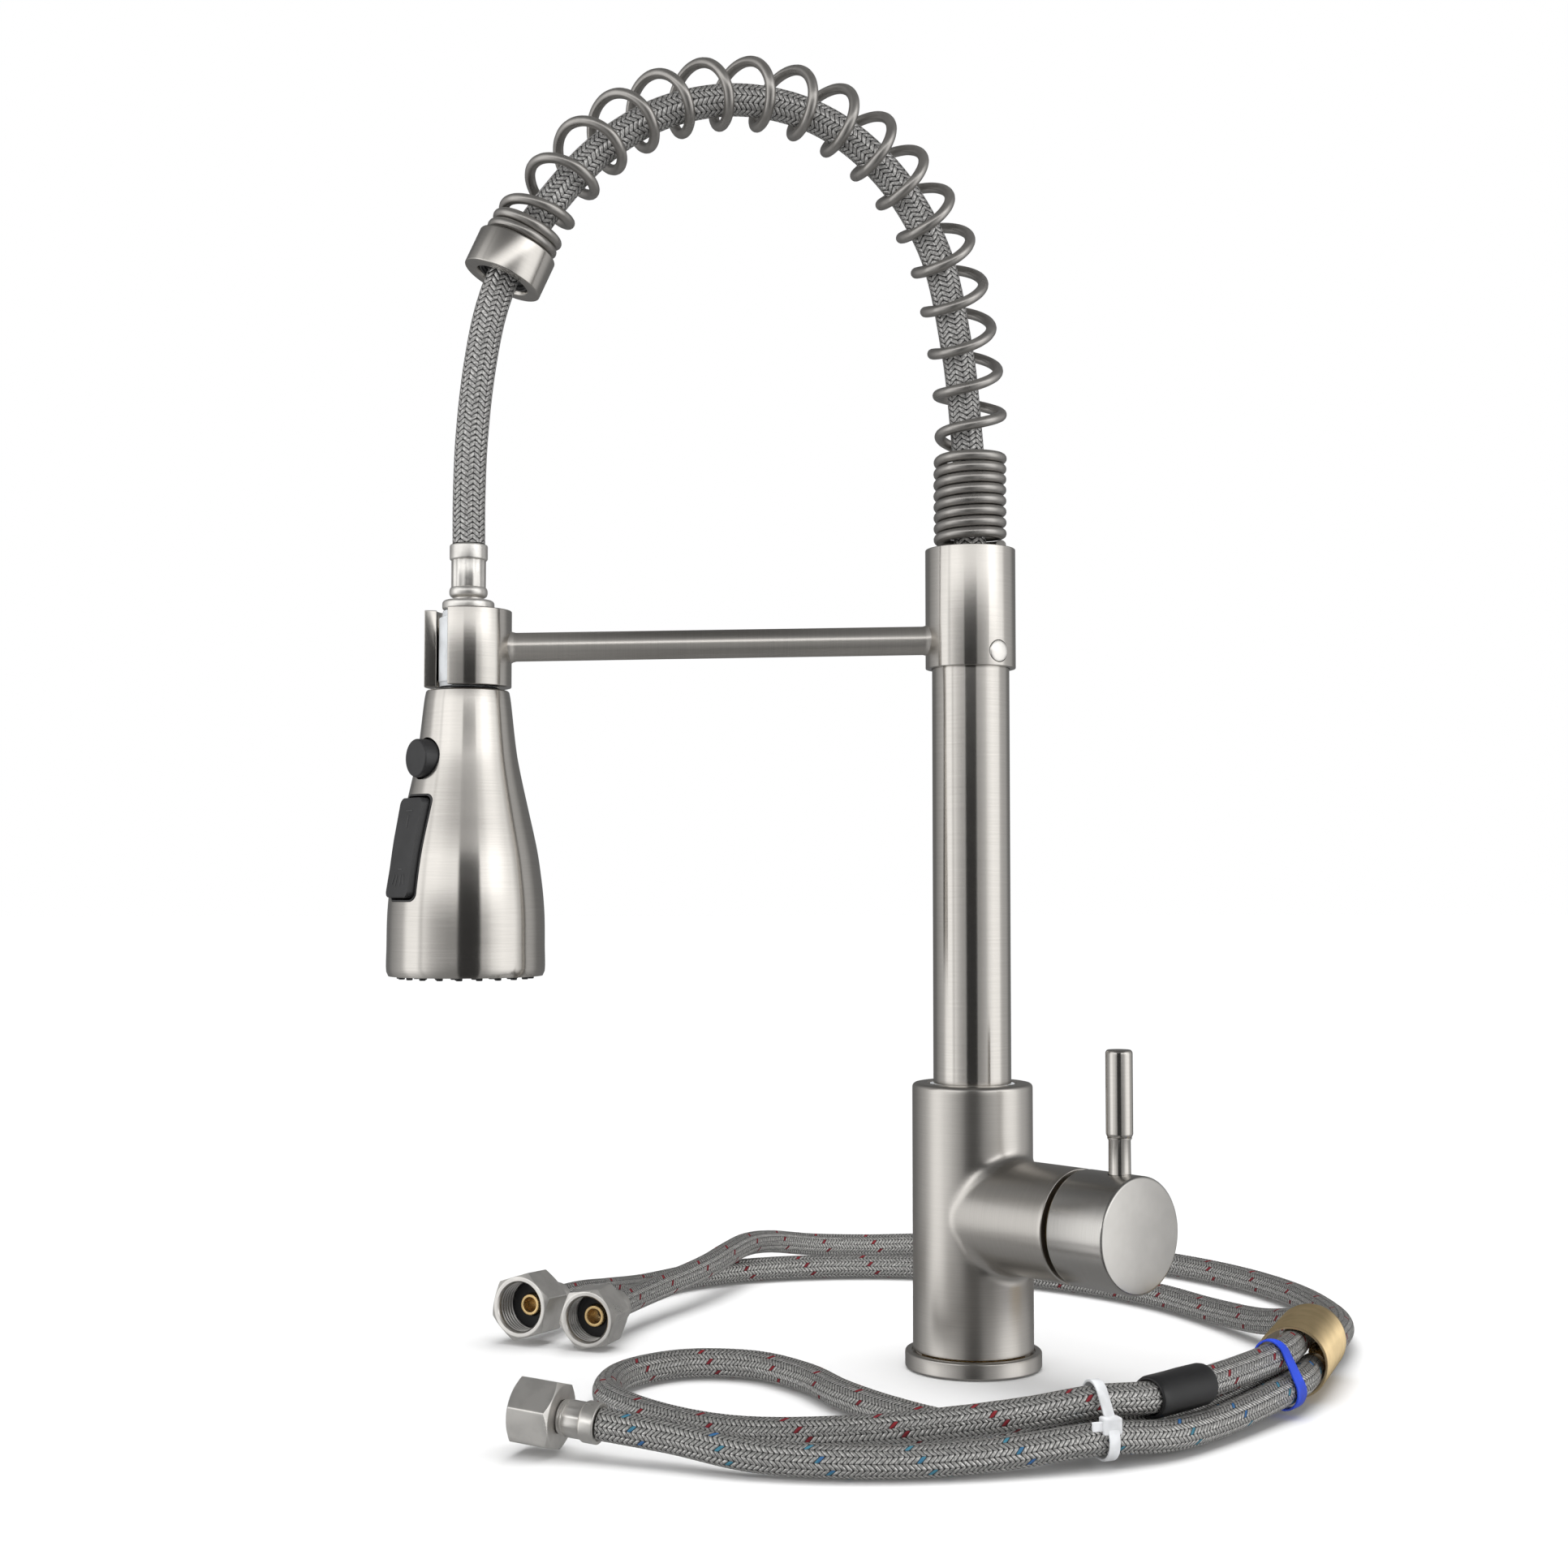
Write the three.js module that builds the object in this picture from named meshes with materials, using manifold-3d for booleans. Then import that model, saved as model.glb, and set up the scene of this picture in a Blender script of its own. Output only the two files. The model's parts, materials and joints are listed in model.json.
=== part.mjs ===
// Pull-down kitchen faucet: mixer with a side lever, a swivelling column, a spring arch with its
// docking arm, a pull-down spray head, and the supply hoses with their mounting shank laid beside it.
// Millimetres, +Z up. The origin is the centre of the underside, on the column's axis; the arch
// lies in the XZ plane and reaches towards -X.
import * as THREE from "three";
import { mergeVertices } from "three/addons/utils/BufferGeometryUtils.js";
import Module from "manifold-3d";

const wasm = await Module();
wasm.setup();

// ---------------------------------------------------------------- driving dimensions
const GAP = 0.3; // clearance between pieces that touch
const EPS = 0.4; // how far a cutter runs past the face it cuts
const ROUND = 20; // sides of a large turned part
const SMALL_ROUND = 10; // sides of a small turned part

const FLANGE = { radius: 26, height: 6.4, bore: 20.2, lip: 0.9 };
const BODY = { radius: 23, top: 107.4, bore: 13.9, seatBore: 16.6, seatDepth: 26 };
const BRANCH = { height: 58.9, angle: -53.35, radius: 21.1, end: 54, pocket: 18.2, pocketStart: 25 };
const CAP = { start: 56.6, end: 82.6, recess: 14, recessDepth: 10, pinAt: 73.2 };
const LEVER = { pinRadius: 3.95, gripRadius: 4.85, shoulder: 23.6, gripStart: 34.3, gripEnd: 65.3 };
const COLUMN = { radius: 14.9, bore: 12.4, spigot: 13.3, spigotBottom: 82, bottom: 108.7, top: 307 };
const COLLAR = { radius: 17.4, bottom: 266.4, top: 312.7, bore: 15.2, plugHeight: 270.5, plugAngle: -60.5 };
const ARM = { radius: 5.5, columnHeight: 277.4, dockHeight: 273.4 };
const DOCK = { x: -193, radius: 16.5, bore: 11.9, bottom: 258, top: 287.2, slotAngle: 217.3, slotHalf: 29 };
const SPRING = { radius: 12.1, wire: 2.05, tightPitch: 4.45, tightTurns: 8, openTurns: 17, endTurns: 2 };
const END_CAP = { radius: 15.5, length: 15, bore: 10.3, linerBore: 7.4 };
const SPRAY_HOSE = { radius: 6.2 };
const NECK = { radius: 11, bottom: 258, top: 287.3, spigot: 8.6, spigotBottom: 240, bore: 4.5 };
const HEAD = { top: 256.7, bottom: 148.8, wall: 1.9 };
const BUTTON = { height: 230.3, radius: 6.8, face: 23, back: 14.4 };
const ROCKER = { top: 215.8, bottom: 177.8, width: 15.6, pivotX: 21.6, pivotZ: 196, pinRadius: 1.3 };
const SUPPLY = { radius: 5.2 };
const SHANK = { radius: 13, bore: 12, length: 47.1, mouth: [104.2, -62.4], direction: [0.4455, 0.8953] };

// Outer outline of the spray head, radius against height, from the outlet rim to the neck.
const HEAD_OUTLINE = [
  [28.9, 148.8], [29.6, 150], [29.65, 160], [29.5, 171], [28.9, 179.6], [28, 187], [26.9, 194.4],
  [25.4, 201.8], [23.7, 209.2], [20.4, 223.9], [18.9, 231.5], [17.9, 238.7], [16.2, 253.5], [15.6, 256],
];

// The spray hose inside the spring, from inside the column over the arch to the end cap.
const ARCH_ROUTE = [
  [0, 0, 298], [0, 0, 318], [0, 0, 338], [-1.6, 0, 362], [-4.8, 0, 391], [-14, 0, 431], [-33, 0, 461.5],
  [-58.5, 0, 481], [-88.5, 0, 488], [-118.5, 0, 482.5], [-143.5, 0, 467], [-162.5, -1, 445.5],
  [-174.6, -2.2, 427.6], [-181, -3.2, 414.2],
];
// The spring's own axis: the hose hangs against the inner side of the open turns.
const SPRING_ROUTE = [
  [0, 0, 298], [0, 0, 318], [0, 0, 342], [0.4, 0, 363], [-2.4, 0, 391.5], [-11.6, 0, 432], [-31, 0, 463.2],
  [-57.3, 0, 483.4], [-88.5, 0, 490.6], [-119.5, 0, 484.9], [-145, -0.5, 469], [-163.8, -1.5, 446.6],
  [-174.8, -2.2, 428], [-181.1, -3.2, 414.2],
];
// The spray hose from the end cap down to its ferrule above the dock.
const DROP_ROUTE = [
  [-178.2, -2.7, 420.6], [-181.3, -3.2, 413.6], [-185.6, -3, 400], [-189.6, -2, 378], [-192.2, -1, 352],
  [-193, -0.2, 330], [-193, 0, 313],
];

// Supply hoses, laid on the worktop. Hose A runs from its nut round the back, through the shank,
// along the front bundle, round a loop and back to the shank's mouth.
const HOSE_A = [
  [-160, 75, 13.4], [-151, 91, 12.4], [-139.5, 113, 9.4], [-125, 140, 6], [-102, 166, 5.4],
  [-70, 182, 5.4], [-35, 187, 5.4], [2, 183, 5.4], [38, 167, 5.4], [71, 140, 5.4], [97, 106, 5.4],
  [112, 68, 5.8], [122, 30, 9], [128.6, -4, 16], [125.2, -20.2, 19.15], [114.7, -41.3, 19.15],
  [104.2, -62.4, 19.15], [97, -74.8, 19], [86, -86.5, 18.6], [71.5, -101, 18.3], [55.5, -115.9, 18.2],
  [37.8, -130.2, 18.1], [17.5, -136.4, 18.5], [-4, -139, 15.8], [-30, -138.5, 12.8], [-63, -131, 8.8],
  [-96, -117, 6], [-122, -93, 5.4], [-138, -62, 5.4], [-133, -31, 5.4], [-111, -13, 5.4], [-85, -17, 5.4],
  [-67, -39, 5.4], [-56, -67, 5.4], [-42, -92, 5.4], [-24, -114, 5.5], [-3, -129, 6.9], [17, -132.6, 8.7],
  [35, -125.5, 7], [52, -111.5, 6.4], [68.5, -96, 7.2], [84.3, -80.2, 8.6], [93.3, -70.5, 9.5],
  [99.4, -60, 9.8], [102.6, -53.6, 9.8],
];
const HOSE_B = [
  [-136, 62, 12.5], [-128.5, 79, 12.6], [-118, 99, 13.1], [-107, 117, 14], [-96, 137, 15.3],
  [-87, 158, 16.6], [-77, 182, 16.8], [-64, 206, 14], [-43, 228, 8.8], [-14, 243, 5.6], [18, 245, 5.4],
  [55, 234, 5.4], [92, 211, 5.4], [123, 180, 5.4], [145, 142, 5.4], [157, 101, 5.4], [158, 60, 5.8],
  [149, 18, 8.2], [130, -22.6, 9.8], [126.8, -29, 9.8],
];
const HOSE_C = [
  [-139.5, -123.5, 10.9], [-117, -134, 9], [-93, -146, 6.2], [-68, -152, 5.4], [-40, -153.5, 5.4],
  [-14, -151, 6.6], [16, -144.3, 8.7], [40.5, -135, 7], [59, -120.2, 6.4], [76, -104, 7.2], [92, -87.7, 8.6],
  [102.5, -76.3, 9.5], [109, -64.8, 9.8], [112.2, -58.4, 9.8],
];

const ZIP_TIE = {
  centres: [[17.5, -136.4, 18.5], [17, -132.6, 8.7], [16, -144.3, 8.7]],
  direction: [0.97, 0.24, 0], width: 4.4, thickness: 0.9, clearance: 2.4,
};
const HOSE_BAND = {
  centres: [[91.5, -80.6, 18.8], [84.3, -80.2, 8.6], [92, -87.7, 8.6]],
  direction: [0.69, 0.72, 0], width: 5.5, thickness: 1, clearance: 0.8,
};
const SLEEVE = { start: [36, -131.4, 18.1], end: [58.5, -113.2, 18.2], inner: 6.2, outer: 7 };

// Each supply nut: across flats, length, where its mouth's centre lies and which way the hose leaves.
const SUPPLY_NUTS = [
  { tag: "a", hose: HOSE_A, flats: 24, length: 16, bore: 9.6, turn: 12 },
  { tag: "b", hose: HOSE_B, flats: 22, length: 15, bore: 8.7, turn: 20 },
  { tag: "c", hose: HOSE_C, flats: 20.5, length: 15, bore: 8.2, turn: 14 },
];

// ---------------------------------------------------------------- materials
const finish = (color, roughness, metalness) =>
  new THREE.MeshStandardMaterial({ color, roughness, metalness });
const STEEL = finish(0xa8a49c, 0.34, 1);
const NICKEL = finish(0xb5b0a8, 0.3, 1);
const SPRING_STEEL = finish(0x8f8a84, 0.3, 1);
const BRASS = finish(0xc4a468, 0.35, 1);
const BRAID = finish(0x9a9a98, 0.45, 0.9);
const BLACK_PLASTIC = finish(0x17181a, 0.5, 0);
const GREY_PLASTIC = finish(0xb9bdc2, 0.45, 0);
const RUBBER = finish(0x101012, 0.75, 0);
const WHITE_NYLON = finish(0xe8e9ea, 0.5, 0);
const BLUE_RUBBER = finish(0x1746c8, 0.55, 0);

// ---------------------------------------------------------------- geometry helpers
const UP = new THREE.Vector3(0, 0, 1);
const degrees = THREE.MathUtils.degToRad;

// A geometry with merged vertices and outward faces, as a manifold-3d solid.
function solid(geometry) {
  const plain = geometry.clone();
  plain.deleteAttribute("normal");
  plain.deleteAttribute("uv");
  const merged = mergeVertices(plain, 1e-4);
  const triVerts = new Uint32Array(merged.index.array);
  const build = () =>
    new wasm.Manifold(
      new wasm.Mesh({ numProp: 3, vertProperties: merged.attributes.position.array, triVerts }),
    );
  let made = build();
  if (made.volume() < 0) {
    for (let i = 0; i < triVerts.length; i += 3) {
      [triVerts[i + 1], triVerts[i + 2]] = [triVerts[i + 2], triVerts[i + 1]];
    }
    made = build();
  }
  return made;
}

function geometryOf(body) {
  const { vertProperties, triVerts } = body.getMesh();
  const geometry = new THREE.BufferGeometry();
  geometry.setAttribute("position", new THREE.BufferAttribute(vertProperties, 3));
  geometry.setIndex(new THREE.BufferAttribute(triVerts, 1));
  geometry.computeVertexNormals();
  return geometry;
}

// A profile of [radius, height] points turned round +Z. It starts and ends on the axis, or at its start.
function turned(profile, sides = ROUND) {
  const points = profile.map(([r, z]) => new THREE.Vector2(r, z));
  return new THREE.LatheGeometry(points, sides).rotateX(Math.PI / 2);
}

const ringProfile = (inner, outer, bottom, top) => [
  [inner, bottom], [outer, bottom], [outer, top], [inner, top], [inner, bottom],
];
const ring = (inner, outer, bottom, top, sides) => turned(ringProfile(inner, outer, bottom, top), sides);
const rod = (radius, bottom, top, sides) =>
  turned([[0, bottom], [radius, bottom], [radius, top], [0, top]], sides);

// A rod along +X, for radial holes and pins.
const radialRod = (radius, start, end, sides = SMALL_ROUND) =>
  rod(radius, start, end, sides).rotateY(Math.PI / 2);

function prism(shape, bottom, top) {
  const depth = top - bottom;
  const geometry = new THREE.ExtrudeGeometry(shape, { depth, bevelEnabled: false, curveSegments: 10 });
  return geometry.translate(0, 0, bottom);
}

function box(x0, x1, y0, y1, z0, z1) {
  const geometry = new THREE.BoxGeometry(x1 - x0, y1 - y0, z1 - z0);
  return geometry.translate((x0 + x1) / 2, (y0 + y1) / 2, (z0 + z1) / 2);
}

function polygonShape(radius, sides) {
  const points = [];
  for (let i = 0; i < sides; i += 1) {
    const angle = (2 * Math.PI * i) / sides;
    points.push(new THREE.Vector2(radius * Math.cos(angle), radius * Math.sin(angle)));
  }
  return new THREE.Shape(points);
}

const curveThrough = (route) =>
  new THREE.CatmullRomCurve3(route.map((p) => new THREE.Vector3(...p)), false, "centripetal");

// A round section swept along a curve.
const swept = (curve, radius, sides, steps) =>
  new THREE.ExtrudeGeometry(polygonShape(radius, sides), { steps, bevelEnabled: false, extrudePath: curve });

function mesh(name, shape, material) {
  const geometry = shape.isBufferGeometry ? shape : geometryOf(shape);
  const made = new THREE.Mesh(geometry, material);
  made.name = name;
  return made;
}

function group(...children) {
  const made = new THREE.Group();
  made.add(...children);
  return made;
}

// Puts a group's +Z along a direction, with its +Y as near to up as it can be.
function aim(target, position, direction) {
  const z = new THREE.Vector3(...direction).normalize();
  const x = new THREE.Vector3().crossVectors(UP, z).normalize();
  const y = new THREE.Vector3().crossVectors(z, x);
  target.quaternion.setFromRotationMatrix(new THREE.Matrix4().makeBasis(x, y, z));
  target.position.set(...position);
  return target;
}

// ---------------------------------------------------------------- base and mixer
function baseFlange() {
  const { radius, height, bore, lip } = FLANGE;
  return turned([
    [bore, 0], [23.9, 0], [23.9, 1.4], [25.3, 1.4], [25.3, 0], [radius - 0.3, 0], [radius, 0.6],
    [radius, height - 0.9], [radius - lip, height], [bore, height], [bore, 0],
  ]);
}

// The brass plug under the body, with ports for the two supplies and the outlet.
function baseAdapter() {
  let plug = solid(turned([[0, 0], [19.8, 0], [19.8, 6.2], [13.5, 6.2], [13.5, 20], [0, 20]]));
  for (const angle of [30, 150, 270]) {
    const port = rod(3.6, -EPS, 14, SMALL_ROUND).translate(0, 7.8, 0).rotateZ(degrees(angle));
    plug = plug.subtract(solid(port));
  }
  return plug;
}

const branchDirection = [Math.cos(degrees(BRANCH.angle)), Math.sin(degrees(BRANCH.angle)), 0];

// A shape made along +Z, turned to run out along the mixer's side branch.
function alongBranch(geometry) {
  geometry.rotateY(Math.PI / 2).rotateZ(degrees(BRANCH.angle));
  return geometry.translate(0, 0, BRANCH.height);
}

function mixerBody() {
  const { radius, top, bore, seatBore, seatDepth } = BODY;
  const bottom = FLANGE.height + GAP;
  const outside = turned([
    [0, bottom], [radius - 0.3, bottom], [radius, bottom + 0.3], [radius, top - 2.2],
    [radius - 0.6, top - 0.7], [radius - 2, top], [0, top],
  ], 28);
  const branch = alongBranch(rod(BRANCH.radius, 0, BRANCH.end, ROUND));
  const pocket = alongBranch(rod(BRANCH.pocket, BRANCH.pocketStart, BRANCH.end + EPS, ROUND));
  return solid(outside)
    .add(solid(branch))
    .subtract(solid(rod(bore, bottom - EPS, top + EPS)))
    .subtract(solid(rod(seatBore, top - seatDepth, top + EPS)))
    .subtract(solid(pocket));
}

// The cartridge stands in the branch's pocket, with its outlet disc end facing the cap.
function branchPieces() {
  const cartridge = turned([
    [0, 25.4], [17.6, 25.4], [17.6, 46], [15.5, 46], [15.5, 49.5], [8, 49.5], [8, 44], [0, 44],
  ]);
  const nut = turned([
    [15.8, 46.3], [17.9, 46.3], [17.9, 53.6], [10.5, 53.6], [10.5, 49.8], [15.8, 49.8], [15.8, 46.3],
  ]);
  return [
    mesh("cartridge", cartridge, GREY_PLASTIC),
    mesh("cartridge_nut", nut, BRASS),
    mesh("cartridge_spindle", rod(6.5, 44.3, 50.6, SMALL_ROUND), BRASS),
  ];
}

function handlePieces() {
  const { start, end, recess, recessDepth, pinAt } = CAP;
  const r = BRANCH.radius;
  const shell = turned([
    [0, start + recessDepth], [recess, start + recessDepth], [recess, start], [r - 0.4, start],
    [r, start + 0.4], [r, end - 0.6], [r - 0.6, end], [0, end],
  ]);
  const pinHole = rod(LEVER.pinRadius + GAP, 8, 30, SMALL_ROUND).rotateX(-Math.PI / 2).translate(0, 0, pinAt);
  const cap = solid(shell).subtract(solid(pinHole));

  const { pinRadius: p, gripRadius: g, shoulder, gripStart, gripEnd } = LEVER;
  const pin = turned([
    [0, 8.4], [p, 8.4], [p, r + GAP], [5.6, r + GAP], [5.2, shoulder - 0.9], [p, shoulder],
    [p, gripStart - GAP], [0, gripStart - GAP],
  ], SMALL_ROUND);
  const grip = turned([
    [0, gripStart], [g - 0.8, gripStart], [g, gripStart + 0.8], [g, gripEnd - 0.9], [g - 0.9, gripEnd],
    [0, gripEnd],
  ], SMALL_ROUND);
  const lever = group(mesh("lever_pin", pin, STEEL), mesh("lever_grip", grip, STEEL));
  lever.rotation.x = -Math.PI / 2;
  lever.position.z = pinAt;

  const screw = rod(2.4, start + 4, start + recessDepth - GAP, SMALL_ROUND);
  return [mesh("handle_cap", cap, STEEL), lever, mesh("handle_screw", screw, NICKEL)];
}

function mixer() {
  const side = aim(group(...branchPieces(), ...handlePieces()), [0, 0, BRANCH.height], branchDirection);
  const { top } = BODY;
  return group(
    mesh("base_flange", baseFlange(), STEEL),
    mesh("base_gasket", ring(24.3, 24.8, 0, 1.1), RUBBER),
    mesh("base_adapter", baseAdapter(), BRASS),
    mesh("mixer_body", mixerBody(), STEEL),
    side,
    mesh("swivel_bush", ring(13.6, 16.3, 88.3, top - GAP), GREY_PLASTIC),
    mesh("swivel_oring", ring(13.6, 16.3, 83, 86), RUBBER),
    mesh("column_seal", ring(13.6, 15.7, top + 0.1, 108.4), RUBBER),
  );
}

// ---------------------------------------------------------------- column, arm and dock
function columnTube() {
  const { radius, bore, spigot, spigotBottom, bottom, top } = COLUMN;
  return turned([
    [9.5, spigotBottom], [spigot, spigotBottom], [spigot, bottom], [radius, bottom], [radius, top],
    [bore, top], [bore, bottom + 4], [9.5, bottom + 2], [9.5, spigotBottom],
  ]);
}

function bracketCollar() {
  const { radius, bottom, top, bore, plugHeight, plugAngle } = COLLAR;
  const sleeve = turned([
    [bore, bottom], [radius - 0.6, bottom], [radius, bottom + 0.6], [radius, top - 0.6],
    [radius - 0.6, top], [bore, top], [bore, bottom],
  ]);
  const hole = radialRod(4.5, 12, 24).rotateZ(degrees(plugAngle)).translate(0, 0, plugHeight + 1.5);
  return solid(sleeve).subtract(solid(hole));
}

function collarPlug() {
  const { plugHeight, plugAngle } = COLLAR;
  const plug = turned([[0, 15.5], [4.2, 15.5], [4.2, 17.5], [3.2, 18.1], [0, 18.3]], SMALL_ROUND);
  return plug.rotateY(Math.PI / 2).rotateZ(degrees(plugAngle)).translate(0, 0, plugHeight + 1.5);
}

function supportArm() {
  const { radius, columnHeight, dockHeight } = ARM;
  const start = new THREE.Vector3(-8, 0, columnHeight);
  const end = new THREE.Vector3(DOCK.x + 8, 0, dockHeight);
  const length = start.distanceTo(end);
  const arm = rod(radius, 0, length, 24);
  arm.applyQuaternion(new THREE.Quaternion().setFromUnitVectors(UP, end.clone().sub(start).normalize()));
  arm.translate(start.x, start.y, start.z);
  const collarSpace = rod(COLLAR.radius + GAP, 240, 320, 64);
  const dockSpace = rod(DOCK.radius + GAP, 240, 320, 64).translate(DOCK.x, 0, 0);
  return solid(arm).subtract(solid(collarSpace)).subtract(solid(dockSpace));
}

function dockRing() {
  const { radius, bore, bottom, top, slotHalf } = DOCK;
  const from = degrees(slotHalf);
  const to = 2 * Math.PI - from;
  const outline = new THREE.Shape();
  outline.absarc(0, 0, radius, from, to, false);
  outline.absarc(0, 0, bore, to, from, true);
  const depth = top - bottom;
  const made = new THREE.ExtrudeGeometry(outline, { depth, bevelEnabled: false, curveSegments: 14 });
  return made.translate(0, 0, bottom);
}

// ---------------------------------------------------------------- spring arch
// The spring's wire centreline: close-wound on the column, open over the arch, close-wound at the cap.
class SpringWire extends THREE.Curve {
  constructor(arch, first, last) {
    super();
    this.arch = arch;
    this.length = arch.getLength();
    this.first = first;
    this.last = last;
    this.turns = SPRING.tightTurns + SPRING.openTurns + SPRING.endTurns;
  }

  // Distance along the arch after a number of turns.
  travel(turn) {
    const { tightPitch, tightTurns, openTurns } = SPRING;
    const span = this.last - this.first;
    const open = (span - tightPitch * (this.turns - openTurns)) / openTurns;
    const middle = Math.min(Math.max(turn - tightTurns, 0), openTurns);
    return this.first + tightPitch * (turn - middle) + open * middle;
  }

  getPoint(t, target = new THREE.Vector3()) {
    const turn = t * this.turns;
    const u = this.travel(turn) / this.length;
    const centre = this.arch.getPointAt(u);
    const tangent = this.arch.getTangentAt(u);
    const outward = new THREE.Vector3(0, 1, 0).cross(tangent).normalize();
    const sideways = new THREE.Vector3().crossVectors(tangent, outward);
    const angle = 2 * Math.PI * turn;
    return target
      .copy(centre)
      .addScaledVector(outward, SPRING.radius * Math.cos(angle))
      .addScaledVector(sideways, SPRING.radius * Math.sin(angle));
  }
}

function springArch() {
  const arch = curveThrough(SPRING_ROUTE);
  const length = arch.getLength();
  const first = COLLAR.top + GAP + SPRING.wire - SPRING_ROUTE[0][2];
  const capTop = arch.getPointAt(1 - END_CAP.length / length);
  const capAxis = arch.getTangentAt(1 - END_CAP.length / 2 / length).negate();
  const last = length - END_CAP.length - GAP - SPRING.wire - 0.25;
  const wire = new SpringWire(arch, first, last);
  const spring = swept(wire, SPRING.wire, 6, wire.turns * 8);

  const { radius, bore, length: tall, linerBore } = END_CAP;
  const cap = turned([
    [bore, -tall], [radius - 0.5, -tall], [radius, 0.5 - tall], [radius, -0.8], [radius - 0.8, 0],
    [8.2, 0], [8.2, -1.5], [bore, -1.5], [bore, -tall],
  ]);
  const liner = turned([
    [linerBore, 1.6 - tall], [9.9, 1.6 - tall], [9.9, -1.9], [linerBore, -1.9], [linerBore, 1.6 - tall],
  ], 18);
  const end = group(mesh("spring_end_cap", cap, STEEL), mesh("cap_liner", liner, RUBBER));
  end.quaternion.setFromUnitVectors(UP, capAxis);
  end.position.copy(capTop);

  const hoseRoute = ARCH_ROUTE.slice(0, -1);
  return group(
    mesh("spring_seat", ring(7.6, 14.8, 307.4, 312.5), NICKEL),
    mesh("arch_spring", spring, SPRING_STEEL),
    end,
    mesh("arch_hose", swept(curveThrough(hoseRoute), SPRAY_HOSE.radius, 8, 22), BRAID),
    mesh("drop_hose", swept(curveThrough(DROP_ROUTE), SPRAY_HOSE.radius, 8, 9), BRAID),
  );
}

function spout() {
  const dock = mesh("dock_ring", dockRing(), STEEL);
  dock.position.x = DOCK.x;
  dock.rotation.z = degrees(DOCK.slotAngle);
  return group(
    mesh("column_tube", columnTube(), STEEL),
    mesh("bracket_collar", bracketCollar(), STEEL),
    mesh("collar_plug", collarPlug(), NICKEL),
    mesh("support_arm", supportArm(), STEEL),
    dock,
    springArch(),
  );
}

// ---------------------------------------------------------------- spray head
function hoseEnd() {
  const ferrule = turned([
    [0, 291.4], [5.6, 291.4], [5.6, 292.4], [6.9, 293], [7.2, 294.4], [6.9, 295.9], [6.4, 296.6], [6.5, 306.3],
    [7.2, 306.8], [7.2, 312.2], [6.8, 312.7], [0, 312.7],
  ], 18);
  const swivelRing = turned([
    [0, 287.6], [9.6, 287.6], [9.8, 287.9], [9.8, 290.7], [9.4, 291.1], [0, 291.1],
  ]);
  return [mesh("spray_ferrule", ferrule, NICKEL), mesh("swivel_ring", swivelRing, NICKEL)];
}

function dockNeck() {
  const { radius, bottom, top, spigot, spigotBottom, bore } = NECK;
  return turned([
    [bore, spigotBottom], [spigot, spigotBottom], [spigot, bottom - 0.1], [radius - 0.4, bottom - 0.1],
    [radius, bottom + 0.3], [radius, top - 1], [radius - 1, top], [bore, top], [bore, spigotBottom],
  ], 22);
}

const headInside = HEAD_OUTLINE.map(([r, z]) => [r - HEAD.wall, z]).reverse();

// The head's wall as a solid; the button's hole and the rocker's opening are cut from it.
function headWall() {
  return turned([
    ...HEAD_OUTLINE, [14.9, HEAD.top], [9, HEAD.top], [9, 254.6], ...headInside, HEAD_OUTLINE[0],
  ], 18);
}

const rockerOpening = (margin) => {
  const { width, bottom, top } = ROCKER;
  const half = width / 2 + margin;
  return solid(box(14, 40, -half, half, bottom - margin, top + margin));
};

function sprayShell() {
  const buttonHole = radialRod(BUTTON.radius + 0.5, 12, 40).translate(0, 0, BUTTON.height);
  return solid(headWall()).subtract(solid(buttonHole)).subtract(rockerOpening(1.9));
}

function rockerBezel() {
  return solid(headWall()).intersect(rockerOpening(1.6)).subtract(rockerOpening(1));
}

function sprayRocker() {
  const { top, bottom, width, pivotX, pivotZ, pinRadius } = ROCKER;
  const side = new THREE.Shape([
    new THREE.Vector2(22.7, top), new THREE.Vector2(27, 194), new THREE.Vector2(30, bottom + 0.6),
    new THREE.Vector2(29.2, bottom), new THREE.Vector2(26.4, bottom), new THREE.Vector2(23.6, 192),
    new THREE.Vector2(19.6, top - 0.6), new THREE.Vector2(19.9, top),
  ]);
  const upright = (geometry) => geometry.rotateX(Math.PI / 2).translate(0, width / 2, 0);
  const plate = upright(prism(side, 0, width));
  const boss = upright(rod(3, 1.5, width - 1.5, SMALL_ROUND).translate(pivotX, pivotZ, 0));
  const hole = upright(rod(pinRadius + 0.3, -EPS, width + EPS, SMALL_ROUND).translate(pivotX, pivotZ, 0));
  return solid(plate).add(solid(boss)).subtract(solid(hole));
}

function pauseButton() {
  const { radius, back, face } = BUTTON;
  const profile = [[0, back], [radius, back], [radius, face - 0.9], [radius - 0.9, face], [0, face]];
  return turned(profile, 28).rotateY(Math.PI / 2).translate(0, 0, BUTTON.height);
}

function buttonSpring() {
  const turns = 3;
  const coil = new THREE.CatmullRomCurve3(
    Array.from({ length: turns * 8 + 1 }, (_, i) => {
      const angle = (i * Math.PI) / 4;
      return new THREE.Vector3(10.7 + (i * 3) / (turns * 8), 3.4 * Math.cos(angle), 3.4 * Math.sin(angle));
    }),
  );
  return swept(coil, 0.32, 4, turns * 8).translate(0, 0, BUTTON.height);
}

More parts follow.
